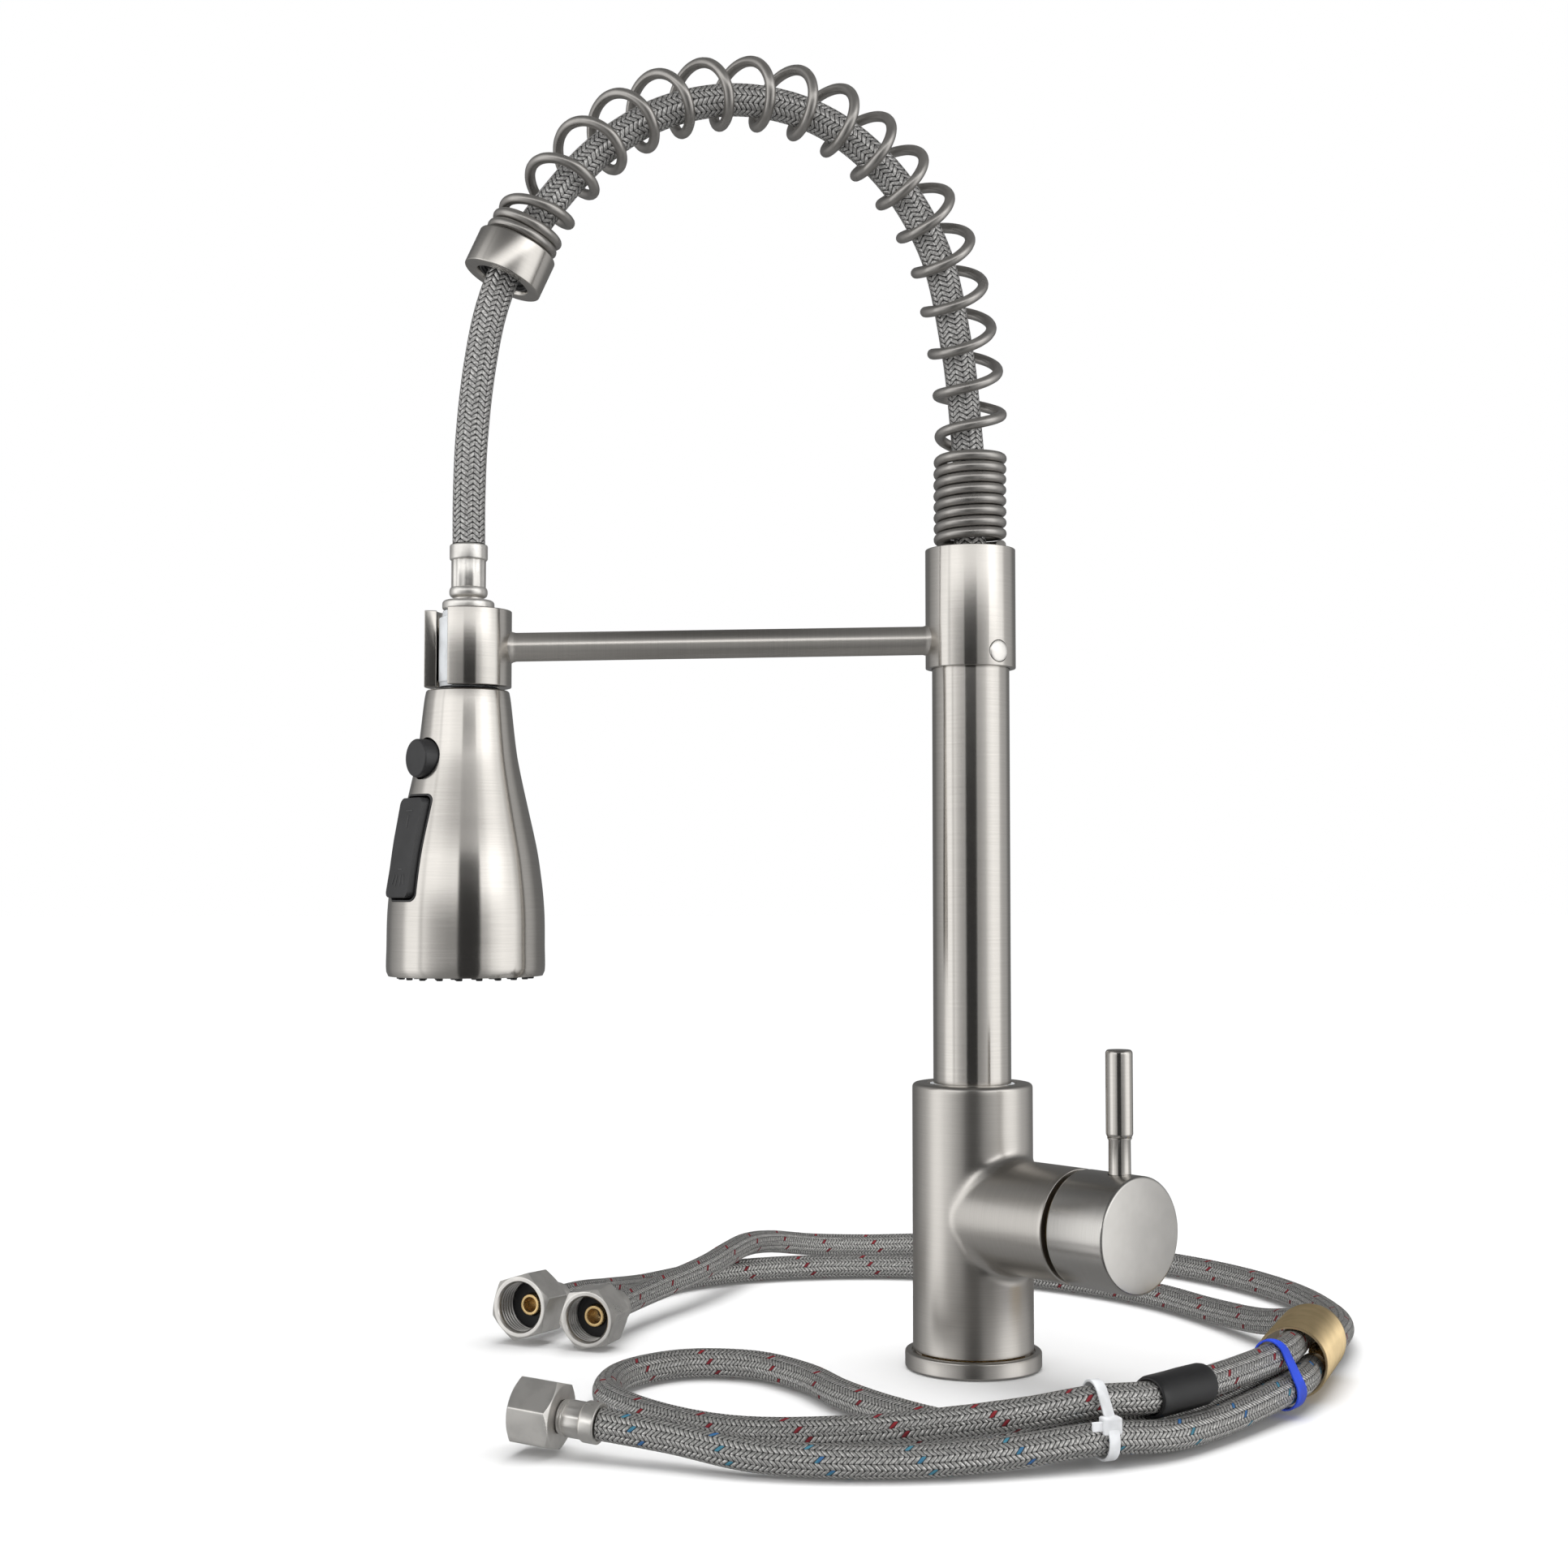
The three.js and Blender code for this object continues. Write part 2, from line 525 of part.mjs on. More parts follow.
// The outlet plate with two rings of short rubber-tipped nozzles.
function nozzlePlate() {
  let plate = solid(ring(8.6, 27.1, 150.2, 152.6));
  for (const { radius, count } of [{ radius: 23.5, count: 12 }, { radius: 15.5, count: 8 }]) {
    for (let i = 0; i < count; i += 1) {
      const nozzle = turned([[0, 147.6], [0.8, 147.6], [1.3, 151], [0, 151]], 5);
      nozzle.translate(radius, 0, 0).rotateZ((2 * Math.PI * i) / count);
      plate = plate.add(solid(nozzle));
    }
  }
  return plate;
}

function sprayHead() {
  const core = turned([
    [0, 153], [26.8, 153], [26.8, 156], [17, 160], [10, 170], [10, 239.7], [0, 239.7],
  ], 22);
  const pin = rod(ROCKER.pinRadius, -8.1, 8.1, 12).rotateX(Math.PI / 2);
  pin.translate(ROCKER.pivotX, 0, ROCKER.pivotZ);
  const head = group(
    mesh("dock_neck", dockNeck(), GREY_PLASTIC),
    mesh("neck_seal", ring(8.9, 12, 257, 257.6, 22), RUBBER),
    mesh("spray_shell", sprayShell(), STEEL),
    mesh("rocker_bezel", rockerBezel(), BLACK_PLASTIC),
    mesh("spray_core", core, BLACK_PLASTIC),
    mesh("nozzle_plate", nozzlePlate(), BLACK_PLASTIC),
    mesh("aerator", rod(8.2, 149.2, 152.6, 28), GREY_PLASTIC),
    mesh("rocker_pin", pin, NICKEL),
    mesh("button_spring", buttonSpring(), SPRING_STEEL),
    mesh("pause_button", pauseButton(), BLACK_PLASTIC),
    mesh("spray_rocker", sprayRocker(), BLACK_PLASTIC),
    ...hoseEnd(),
  );
  head.position.x = DOCK.x;
  head.rotation.z = degrees(DOCK.slotAngle);
  return head;
}

// ---------------------------------------------------------------- supply hoses and shank
function hexNut({ flats, length, bore, turn }) {
  const corner = flats / Math.sqrt(3);
  const hexagon = solid(prism(polygonShape(corner, 6), 0, length).rotateZ(degrees(turn)));
  const rounding = turned([
    [0, 0], [flats / 2 - 0.2, 0], [corner * 0.96, 1.6], [corner * 0.96, length - 1.6],
    [flats / 2 - 0.2, length], [0, length],
  ]);
  const mouth = turned([
    [0, -EPS], [bore + 0.5, -EPS], [bore, 1], [bore, length - 3.2], [5.2, length - 3.2], [5.2, length + EPS],
    [0, length + EPS],
  ], 22);
  return hexagon.intersect(solid(rounding)).subtract(solid(mouth));
}

// A nut with its washer, brass insert and crimped ferrule; local +Z runs from the mouth to the hose.
function hoseFitting(nut) {
  const { tag, length, bore } = nut;
  const collar = length - 3.5;
  const insert = ring(2.8, 4.2, collar - 4.6, length + 2, SMALL_ROUND);
  const washer = ring(4.5, bore - 0.5, collar - 2.2, collar - 0.1, 28);
  const ferrule = turned([
    [4.5, collar + 0.6], [4.9, collar + 0.6], [4.9, length + 0.4], [6, length + 0.4], [6, length + 8],
    [6.6, length + 8.4], [6.6, length + 13.5], [6.2, length + 13.9], [0, length + 13.9], [0, length + 2.3],
    [4.5, length + 2.3], [4.5, collar + 0.6],
  ], 18);
  const pieces = group(
    mesh(`supply_nut_${tag}`, hexNut(nut), NICKEL),
    mesh(`nut_washer_${tag}`, washer, RUBBER),
    mesh(`hose_insert_${tag}`, insert, BRASS),
    mesh(`hose_ferrule_${tag}`, ferrule, NICKEL),
  );
  const start = new THREE.Vector3(...nut.hose[0]);
  const direction = curveThrough(nut.hose).getTangentAt(0);
  const mouth = start.clone().addScaledVector(direction, -(length + 13.9 + GAP));
  return aim(pieces, mouth.toArray(), direction.toArray());
}

// The plain tail that screws into the mixer, beyond the hose's end inside the shank.
function hoseTail(tag, route) {
  const end = new THREE.Vector3(...route.at(-1));
  const direction = curveThrough(route).getTangentAt(1);
  const tail = turned([[0, GAP], [4.4, GAP], [4.4, 9], [3.4, 9.4], [3.4, 13], [0, 13]], SMALL_ROUND);
  return aim(group(mesh(`hose_tail_${tag}`, tail, BRASS)), end.toArray(), direction.toArray());
}

// The convex outline round a set of points, by the monotone chain method.
function outlineAround(points) {
  const sorted = [...points].sort((p, q) => p.x - q.x || p.y - q.y);
  const side = (list) => {
    const chain = [];
    for (const p of list) {
      while (chain.length > 1) {
        const [o, q] = chain.slice(-2);
        if ((q.x - o.x) * (p.y - o.y) - (q.y - o.y) * (p.x - o.x) > 0) break;
        chain.pop();
      }
      chain.push(p);
    }
    return chain.slice(0, -1);
  };
  return [...side(sorted), ...side(sorted.reverse())];
}

// A closed strap round the three hoses of the front bundle, where the bundle runs along a direction.
function strap({ centres, direction, width, thickness, clearance }) {
  const frame = aim(new THREE.Group(), centres[0], direction);
  frame.updateMatrixWorld(true);
  const flat = centres.map((p) => frame.worldToLocal(new THREE.Vector3(...p)));
  const around = (radius) =>
    outlineAround(flat.flatMap((c) =>
      polygonShape(radius, 12).getPoints().map((p) => new THREE.Vector2(p.x + c.x, p.y + c.y))));
  const inner = SUPPLY.radius + clearance;
  const shape = new THREE.Shape(around(inner + thickness));
  shape.holes.push(new THREE.Path(around(inner)));
  return { frame, band: prism(shape, -width / 2, width / 2), outer: inner + thickness };
}

function zipTie() {
  const { frame, band, outer } = strap(ZIP_TIE);
  const lock = box(-outer - 3.6, -outer + 1, -4, 3.4, -3.3, 3.3);
  const tail = box(-outer - 2.4, -outer - 0.8, -1.8, 1.8, -8.4, -3);
  return frame.add(mesh("zip_tie", solid(band).add(solid(lock)).add(solid(tail)), WHITE_NYLON));
}

function hoseBand() {
  const { frame, band } = strap(HOSE_BAND);
  return frame.add(mesh("hose_band", band, BLUE_RUBBER));
}

function hoseSleeve() {
  const { start, end, inner, outer } = SLEEVE;
  const direction = new THREE.Vector3(...end).sub(new THREE.Vector3(...start));
  const sleeve = mesh("rubber_sleeve", ring(inner, outer, 0, direction.length(), 24), RUBBER);
  return aim(group(sleeve), start, direction.toArray());
}

function accessories() {
  const shank = ring(SHANK.bore, SHANK.radius, 0, SHANK.length, 36);
  const shankGroup = aim(
    group(mesh("brass_shank", shank, BRASS)), [...SHANK.mouth, SHANK.radius + 0.05], [...SHANK.direction, 0],
  );
  const tube = (tag, route, steps) =>
    mesh(`supply_hose_${tag}`, swept(curveThrough(route), SUPPLY.radius, 8, steps), BRAID);
  return group(
    shankGroup,
    tube("a", HOSE_A, 50),
    tube("b", HOSE_B, 19),
    tube("c", HOSE_C, 18),
    ...SUPPLY_NUTS.map(hoseFitting),
    hoseTail("a", HOSE_A),
    hoseTail("b", HOSE_B),
    hoseTail("c", HOSE_C),
    hoseSleeve(),
    zipTie(),
    hoseBand(),
  );
}

const faucet = group(mixer(), spout(), sprayHead(), accessories());
export default faucet;
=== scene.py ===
"""Pull-down kitchen faucet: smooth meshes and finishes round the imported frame.

Sizes in the classes are in millimetres. Every mesh is made at its place in the frame, in metres.
"""
import json
import logging
import math
from collections.abc import Callable, Iterable, Sequence
from dataclasses import dataclass, field
from enum import Enum
from typing import Any

import bmesh
import bpy
import numpy as np
from mathutils import Euler, Matrix, Vector

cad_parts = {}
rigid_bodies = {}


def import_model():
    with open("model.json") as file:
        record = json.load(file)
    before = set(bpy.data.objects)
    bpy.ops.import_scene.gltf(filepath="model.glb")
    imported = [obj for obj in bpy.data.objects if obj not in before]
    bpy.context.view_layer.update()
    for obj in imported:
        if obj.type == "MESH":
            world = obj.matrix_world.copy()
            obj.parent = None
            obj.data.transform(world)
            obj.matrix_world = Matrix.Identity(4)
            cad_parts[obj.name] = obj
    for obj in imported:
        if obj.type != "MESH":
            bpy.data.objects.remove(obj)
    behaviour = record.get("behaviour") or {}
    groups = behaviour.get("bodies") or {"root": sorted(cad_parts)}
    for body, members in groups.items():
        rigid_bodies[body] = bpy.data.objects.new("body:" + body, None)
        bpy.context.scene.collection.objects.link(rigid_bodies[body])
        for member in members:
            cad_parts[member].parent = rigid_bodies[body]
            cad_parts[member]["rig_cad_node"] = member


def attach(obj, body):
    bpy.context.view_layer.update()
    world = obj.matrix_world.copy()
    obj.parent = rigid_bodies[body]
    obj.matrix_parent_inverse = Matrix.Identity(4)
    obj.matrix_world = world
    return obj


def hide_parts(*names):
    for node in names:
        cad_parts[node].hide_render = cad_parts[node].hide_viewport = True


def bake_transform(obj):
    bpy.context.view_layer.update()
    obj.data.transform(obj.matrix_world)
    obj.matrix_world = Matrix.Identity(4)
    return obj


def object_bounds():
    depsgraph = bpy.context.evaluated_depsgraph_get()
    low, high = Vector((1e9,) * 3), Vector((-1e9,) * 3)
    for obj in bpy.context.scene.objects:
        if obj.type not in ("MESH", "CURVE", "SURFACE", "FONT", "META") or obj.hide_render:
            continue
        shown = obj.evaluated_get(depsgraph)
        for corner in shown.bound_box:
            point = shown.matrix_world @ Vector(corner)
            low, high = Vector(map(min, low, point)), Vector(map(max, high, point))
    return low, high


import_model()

MM = 0.001
UP = Vector((0, 0, 1))
Point = Sequence[float]
Colour = tuple[float, float, float]
cad_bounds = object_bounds()
log = logging.getLogger("faucet")


# ---------------------------------------------------------------- routes
class Route:
    """A smooth line through points, walked by distance.

    It is a centripetal Catmull-Rom line, so it keeps to the points without overshooting.
    """

    def __init__(self, points: Sequence[Point], fineness: int = 24) -> None:
        """Samples the line.

        Args:
            points: The points it goes through, in millimetres.
            fineness: Samples between one point and the next.
        """
        given = [Vector(p) for p in points]
        ends = [2 * given[0] - given[1], *given, 2 * given[-1] - given[-2]]
        self.samples = [
            self._between(ends[i : i + 4], step / fineness)
            for i in range(len(given) - 1)
            for step in range(fineness)
        ]
        self.samples.append(given[-1])
        steps = [(b - a).length for a, b in zip(self.samples, self.samples[1:])]
        self.marks = np.concatenate([[0.0], np.cumsum(steps)])
        self.length = float(self.marks[-1])

    @staticmethod
    def _between(around: Sequence[Vector], share: float) -> Vector:
        """A point between the middle two of four points.

        Args:
            around: Four points in a row.
            share: How far along the middle stretch, from 0 to 1.

        Returns:
            The point on the line.
        """
        a, b, c, d = around
        before, along, after = (math.sqrt((q - p).length) for p, q in ((a, b), (b, c), (c, d)))
        leave = ((b - a) / before - (c - a) / (before + along)) * along + (c - b)
        arrive = (c - b) + ((d - c) / after - (d - b) / (along + after)) * along
        squared = share * share
        cubed = squared * share
        return (
            b * (2 * cubed - 3 * squared + 1)
            + leave * (cubed - 2 * squared + share)
            + c * (3 * squared - 2 * cubed)
            + arrive * (cubed - squared)
        )

    def at(self, distance: float) -> Vector:
        """The point at a distance from the start, in millimetres."""
        distance = min(max(distance, 0.0), self.length)
        i = min(int(np.searchsorted(self.marks, distance, side="right")) - 1, len(self.samples) - 2)
        span = self.marks[i + 1] - self.marks[i]
        return self.samples[i].lerp(self.samples[i + 1], (distance - self.marks[i]) / span)

    def heading(self, distance: float, reach: float = 0.6) -> Vector:
        """The unit direction of travel at a distance from the start."""
        return (self.at(distance + reach) - self.at(distance - reach)).normalized()

    def evenly(self, spacing: float) -> list[Vector]:
        """Points about that far apart, from the start to the end."""
        count = max(2, round(self.length / spacing))
        return [self.at(self.length * i / count) for i in range(count + 1)]


def aimed(position: Point, direction: Point) -> Matrix:
    """A frame whose +Z runs along a direction and whose +Y is as near to up as it can be.

    Args:
        position: Its origin, in millimetres.
        direction: Where its +Z points.

    Returns:
        The frame's matrix, in millimetres.
    """
    z = Vector(direction).normalized()
    x = UP.cross(z).normalized()
    y = z.cross(x)
    turned_to = Matrix((x, y, z)).transposed().to_4x4()
    return Matrix.Translation(Vector(position)) @ turned_to


# ---------------------------------------------------------------- mesh making
Corner = tuple[float, ...]


def wire(outline: Sequence[Corner], closed: bool, longest: float, rounding: int) -> bmesh.types.BMesh:
    """An outline in the XZ plane as a wire, with its corners rounded.

    Args:
        outline: Points of (radius, height), or (radius, height, rounding width).
        closed: Whether the last point joins the first.
        longest: The longest stretch that stays undivided.
        rounding: Stretches in each rounded corner.

    Returns:
        The wire, in millimetres.
    """
    bm = bmesh.new()
    corners = [bm.verts.new((p[0], 0, p[1])) for p in outline]
    pairs = list(zip(corners, corners[1:])) + ([(corners[-1], corners[0])] if closed else [])
    for pair in pairs:
        bm.edges.new(pair)
    widths = sorted({p[2] for p in outline if len(p) > 2})
    for width in widths:
        chosen = [v for v, p in zip(corners, outline) if len(p) > 2 and p[2] == width]
        bmesh.ops.bevel(
            bm, geom=chosen, offset=width, offset_type="OFFSET", segments=rounding, profile=0.5,
            affect="VERTICES", clamp_overlap=True, material=-1,
        )
    for edge in list(bm.edges):
        cuts = math.ceil(edge.calc_length() / longest) - 1
        if cuts > 0:
            bmesh.ops.subdivide_edges(bm, edges=[edge], cuts=cuts)
    return bm


def spun(
    outline: Sequence[Corner],
    steps: int = 96,
    closed: bool = False,
    longest: float = 1e3,
    rounding: int = 4,
) -> bmesh.types.BMesh:
    """A turned body: an outline spun round +Z.

    Args:
        outline: Points of (radius, height), or (radius, height, rounding width), in millimetres.
        steps: Sides round the axis.
        closed: Whether the outline is a loop that stays off the axis.
        longest: The longest stretch of outline that stays undivided.
        rounding: Stretches in each rounded corner.

    Returns:
        The body, in millimetres.
    """
    bm = wire(outline, closed, longest, rounding)
    bmesh.ops.spin(
        bm, geom=bm.verts[:] + bm.edges[:], cent=(0, 0, 0), axis=(0, 0, 1), dvec=(0, 0, 0),
        angle=2 * math.pi, steps=steps, use_merge=True, use_normal_flip=False, use_duplicate=False,
    )
    bmesh.ops.remove_doubles(bm, verts=bm.verts, dist=1e-4)
    bmesh.ops.recalc_face_normals(bm, faces=bm.faces)
    return bm


def slab(
    outline: Sequence[Point], thickness: float, edge: float = 0.0, segments: int = 3
) -> bmesh.types.BMesh:
    """A flat outline in XY, drawn up along +Z, with its edges eased.

    Args:
        outline: The corners, in order round the outline.
        thickness: Its height.
        edge: Width of the eased edges.
        segments: Stretches across each eased edge.

    Returns:
        The slab, in millimetres.
    """
    bm = bmesh.new()
    face = bm.faces.new([bm.verts.new((p[0], p[1], 0)) for p in outline])
    drawn = bmesh.ops.extrude_face_region(bm, geom=[face])
    tops = [v for v in drawn["geom"] if isinstance(v, bmesh.types.BMVert)]
    bmesh.ops.translate(bm, vec=(0, 0, thickness), verts=tops)
    bmesh.ops.recalc_face_normals(bm, faces=bm.faces)
    if edge:
        ease(bm, edge, segments, 40)
    return bm


def ease(bm: bmesh.types.BMesh, width: float, segments: int = 2, sharper: float = 30) -> None:
    """Rounds a mesh's sharp edges.

    Args:
        bm: The mesh.
        width: Width of the rounding.
        segments: Stretches across it.
        sharper: Edges that turn by more than this many degrees are rounded.
    """
    limit = math.radians(sharper)
    sharp = [e for e in bm.edges if len(e.link_faces) == 2 and e.calc_face_angle(0) > limit]
    bmesh.ops.bevel(
        bm, geom=sharp, offset=width, offset_type="OFFSET", segments=segments, profile=0.5,
        affect="EDGES", clamp_overlap=True, material=-1,
    )


def moved(bm: bmesh.types.BMesh, matrix: Matrix) -> bmesh.types.BMesh:
    """Moves a whole mesh and gives it back."""
    bmesh.ops.transform(bm, matrix=matrix, verts=bm.verts)
    return bm


def merged(parts: Iterable[bmesh.types.BMesh]) -> bmesh.types.BMesh:
    """Joins several meshes as the loose shells of one.

    Args:
        parts: The meshes, which are freed.

    Returns:
        The one mesh.
    """
    whole = bmesh.new()
    for part in parts:
        shell = bpy.data.meshes.new("shell")
        part.to_mesh(shell)
        part.free()
        whole.from_mesh(shell)
        bpy.data.meshes.remove(shell)
    return whole


class Cut(Enum):
    """How two solids are combined."""

    ADD = "UNION"
    REMOVE = "DIFFERENCE"
    KEEP = "INTERSECT"


def combined(first: bmesh.types.BMesh, second: bmesh.types.BMesh, how: Cut) -> bmesh.types.BMesh:
    """Two solids as one.

    Args:
        first: The solid that is worked on.
        second: The tool.
        how: What the tool does to it.

    Returns:
        The result. Both inputs are used up.
    """
    made = []
    for part in (first, second):
        shell = bpy.data.meshes.new("operand")
        part.to_mesh(shell)
        part.free()
        made.append(bpy.data.objects.new("operand", shell))
        bpy.context.scene.collection.objects.link(made[-1])
    step = made[0].modifiers.new("combine", "BOOLEAN")
    step.operation = how.value
    step.solver = "EXACT"
    step.object = made[1]
    settled = made[0].evaluated_get(bpy.context.evaluated_depsgraph_get())
    result = bmesh.new()
    result.from_mesh(settled.data)
    for part in made:
        shell = part.data
        bpy.data.objects.remove(part)
        bpy.data.meshes.remove(shell)
    return result


def piped(points: Sequence[Point], radius: float, sides: int = 12, loop: bool = False) -> bpy.types.Mesh:
    """A round section swept through points, with a UV map in millimetres along and turns around.

    Args:
        points: Its centreline, evenly spaced, in millimetres.
        radius: The section's radius.
        sides: Sides of the section, a multiple of four.
        loop: Whether the line closes on itself.

    Returns:
        The mesh, in metres.
    """
    line = bpy.data.curves.new("line", "CURVE")
    line.dimensions = "3D"
    line.twist_mode = "MINIMUM"
    line.bevel_depth = radius * MM
    line.bevel_resolution = sides // 2 - 2
    line.use_fill_caps = not loop
    spline = line.splines.new("POLY")
    spline.points.add(len(points) - 1)
    for slot_, p in zip(spline.points, points):
        slot_.co = (*(Vector(p) * MM), 1)
    spline.use_cyclic_u = loop
    holder = bpy.data.objects.new("line", line)
    bpy.context.scene.collection.objects.link(holder)
    settled = holder.evaluated_get(bpy.context.evaluated_depsgraph_get())
    mesh = bpy.data.meshes.new_from_object(settled)
    bpy.data.objects.remove(holder)
    bpy.data.curves.remove(line)
    measure_uv(mesh, points)
    return mesh


def measure_uv(mesh: bpy.types.Mesh, points: Sequence[Point]) -> None:
    """Rewrites a swept mesh's UV map as millimetres along its line and turns around it.

    Args:
        mesh: The swept mesh, with the map that the sweep gave it.
        points: The centreline that was swept.
    """
    layer = mesh.uv_layers[0]
    flat = np.zeros(len(layer.data) * 2)
    layer.data.foreach_get("uv", flat)
    uv = flat.reshape(-1, 2)
    sides = len(np.unique(np.round(uv[:, 1], 4)))
    around = np.round(uv[:, 1] * (sides - 1))
    rings = len(points)
    gaps = [(Vector(b) - Vector(a)).length for a, b in zip(points, points[1:])]
    marks = np.concatenate([[0.0], np.cumsum(gaps)])
    along = marks[np.clip(np.round(uv[:, 0] * (rings - 1)).astype(int), 0, rings - 1)]
    starts = np.array([p.loop_start for p in mesh.polygons])
    owner = np.repeat(np.arange(len(starts)), [p.loop_total for p in mesh.polygons])
    highest = np.maximum.reduceat(around, starts)
    lowest = np.minimum.reduceat(around, starts)
    wraps = (highest == sides - 1) & (lowest == 0)
    around = np.where(wraps[owner] & (around == 0), sides, around)
    layer.data.foreach_set("uv", np.stack([along, around / sides], 1).ravel())


def crimped(panels: int, radius: float, pinch: float, length: float) -> bmesh.types.BMesh:
    """A solid barrel pressed into upright panels.

    Args:
        panels: How many panels go round it.
        radius: Its radius at the panels' edges.
        pinch: Its radius in the middle of a panel, as a share of the radius at the edges.
        length: How long it is.

    Returns:
        The barrel, standing on the XY plane, in millimetres.
    """
    halfway = 0.985
    bm = bmesh.new()
    bmesh.ops.create_circle(bm, cap_ends=True, segments=panels * 4, radius=radius)
    for i, v in enumerate(sorted(bm.verts, key=lambda v: math.atan2(v.co.y, v.co.x))):
        v.co.xy *= (1.0, halfway, pinch, halfway)[i % 4]
    drawn = bmesh.ops.extrude_face_region(bm, geom=bm.faces[:])
    tops = [v for v in drawn["geom"] if isinstance(v, bmesh.types.BMVert)]
    bmesh.ops.translate(bm, vec=(0, 0, length), verts=tops)
    bmesh.ops.recalc_face_normals(bm, faces=bm.faces)
    ease(bm, 0.35, 2, 60)
    return bm


# ---------------------------------------------------------------- shader making
class Value:
    """A number that varies over a surface: arithmetic on it adds the nodes that work it out."""

    def __init__(self, graph: "Graph", socket: bpy.types.NodeSocket) -> None:
        """Wraps a node's output."""
        self.graph = graph
        self.socket = socket

    def _maths(self, operation: str, *terms: Any) -> "Value":
        """Adds one Math node.

        Args:
            operation: The node's operation.
            terms: What goes into its sockets, in order.

        Returns:
            The node's result.
        """
        return self.graph.add("Math", {"operation": operation}, dict(enumerate(terms)))

    def __add__(self, other: Any) -> "Value":
        """The sum."""
        return self._maths("ADD", self, other)

    def __radd__(self, other: Any) -> "Value":
        """The sum, with the number first."""
        return self._maths("ADD", other, self)

    def __sub__(self, other: Any) -> "Value":
        """The difference."""
        return self._maths("SUBTRACT", self, other)

    def __rsub__(self, other: Any) -> "Value":
        """The difference, with the number first."""
        return self._maths("SUBTRACT", other, self)

    def __mul__(self, other: Any) -> "Value":
        """The product."""
        return self._maths("MULTIPLY", self, other)

    def __rmul__(self, other: Any) -> "Value":
        """The product, with the number first."""
        return self._maths("MULTIPLY", other, self)

    def __truediv__(self, other: Any) -> "Value":
        """The quotient."""
        return self._maths("DIVIDE", self, other)

    def __mod__(self, other: Any) -> "Value":
        """The remainder, never below nought."""
        return self._maths("FLOORED_MODULO", self, other)

    def __lt__(self, other: Any) -> "Value":
        """One where it is below the other, nought elsewhere."""
        return self._maths("LESS_THAN", self, other)

    def floor(self) -> "Value":
        """The whole number below."""
        return self._maths("FLOOR", self)

    def part(self) -> "Value":
        """What is left over a whole number."""
        return self._maths("FRACT", self)

    def wave(self) -> "Value":
        """One arch from nought to one and back as it goes from nought to one."""
        return self._maths("SINE", self * math.pi)

    def raised(self, power: float) -> "Value":
        """Its value to a power."""
        return self._maths("POWER", self, power)

    def step(self, low: float, high: float) -> "Value":
        """A smooth step from nought at one value to one at the other."""
        settings = {"interpolation_type": "SMOOTHSTEP"}
        return self.graph.add("MapRange", settings, {0: self, 1: low, 2: high, 3: 0.0, 4: 1.0})


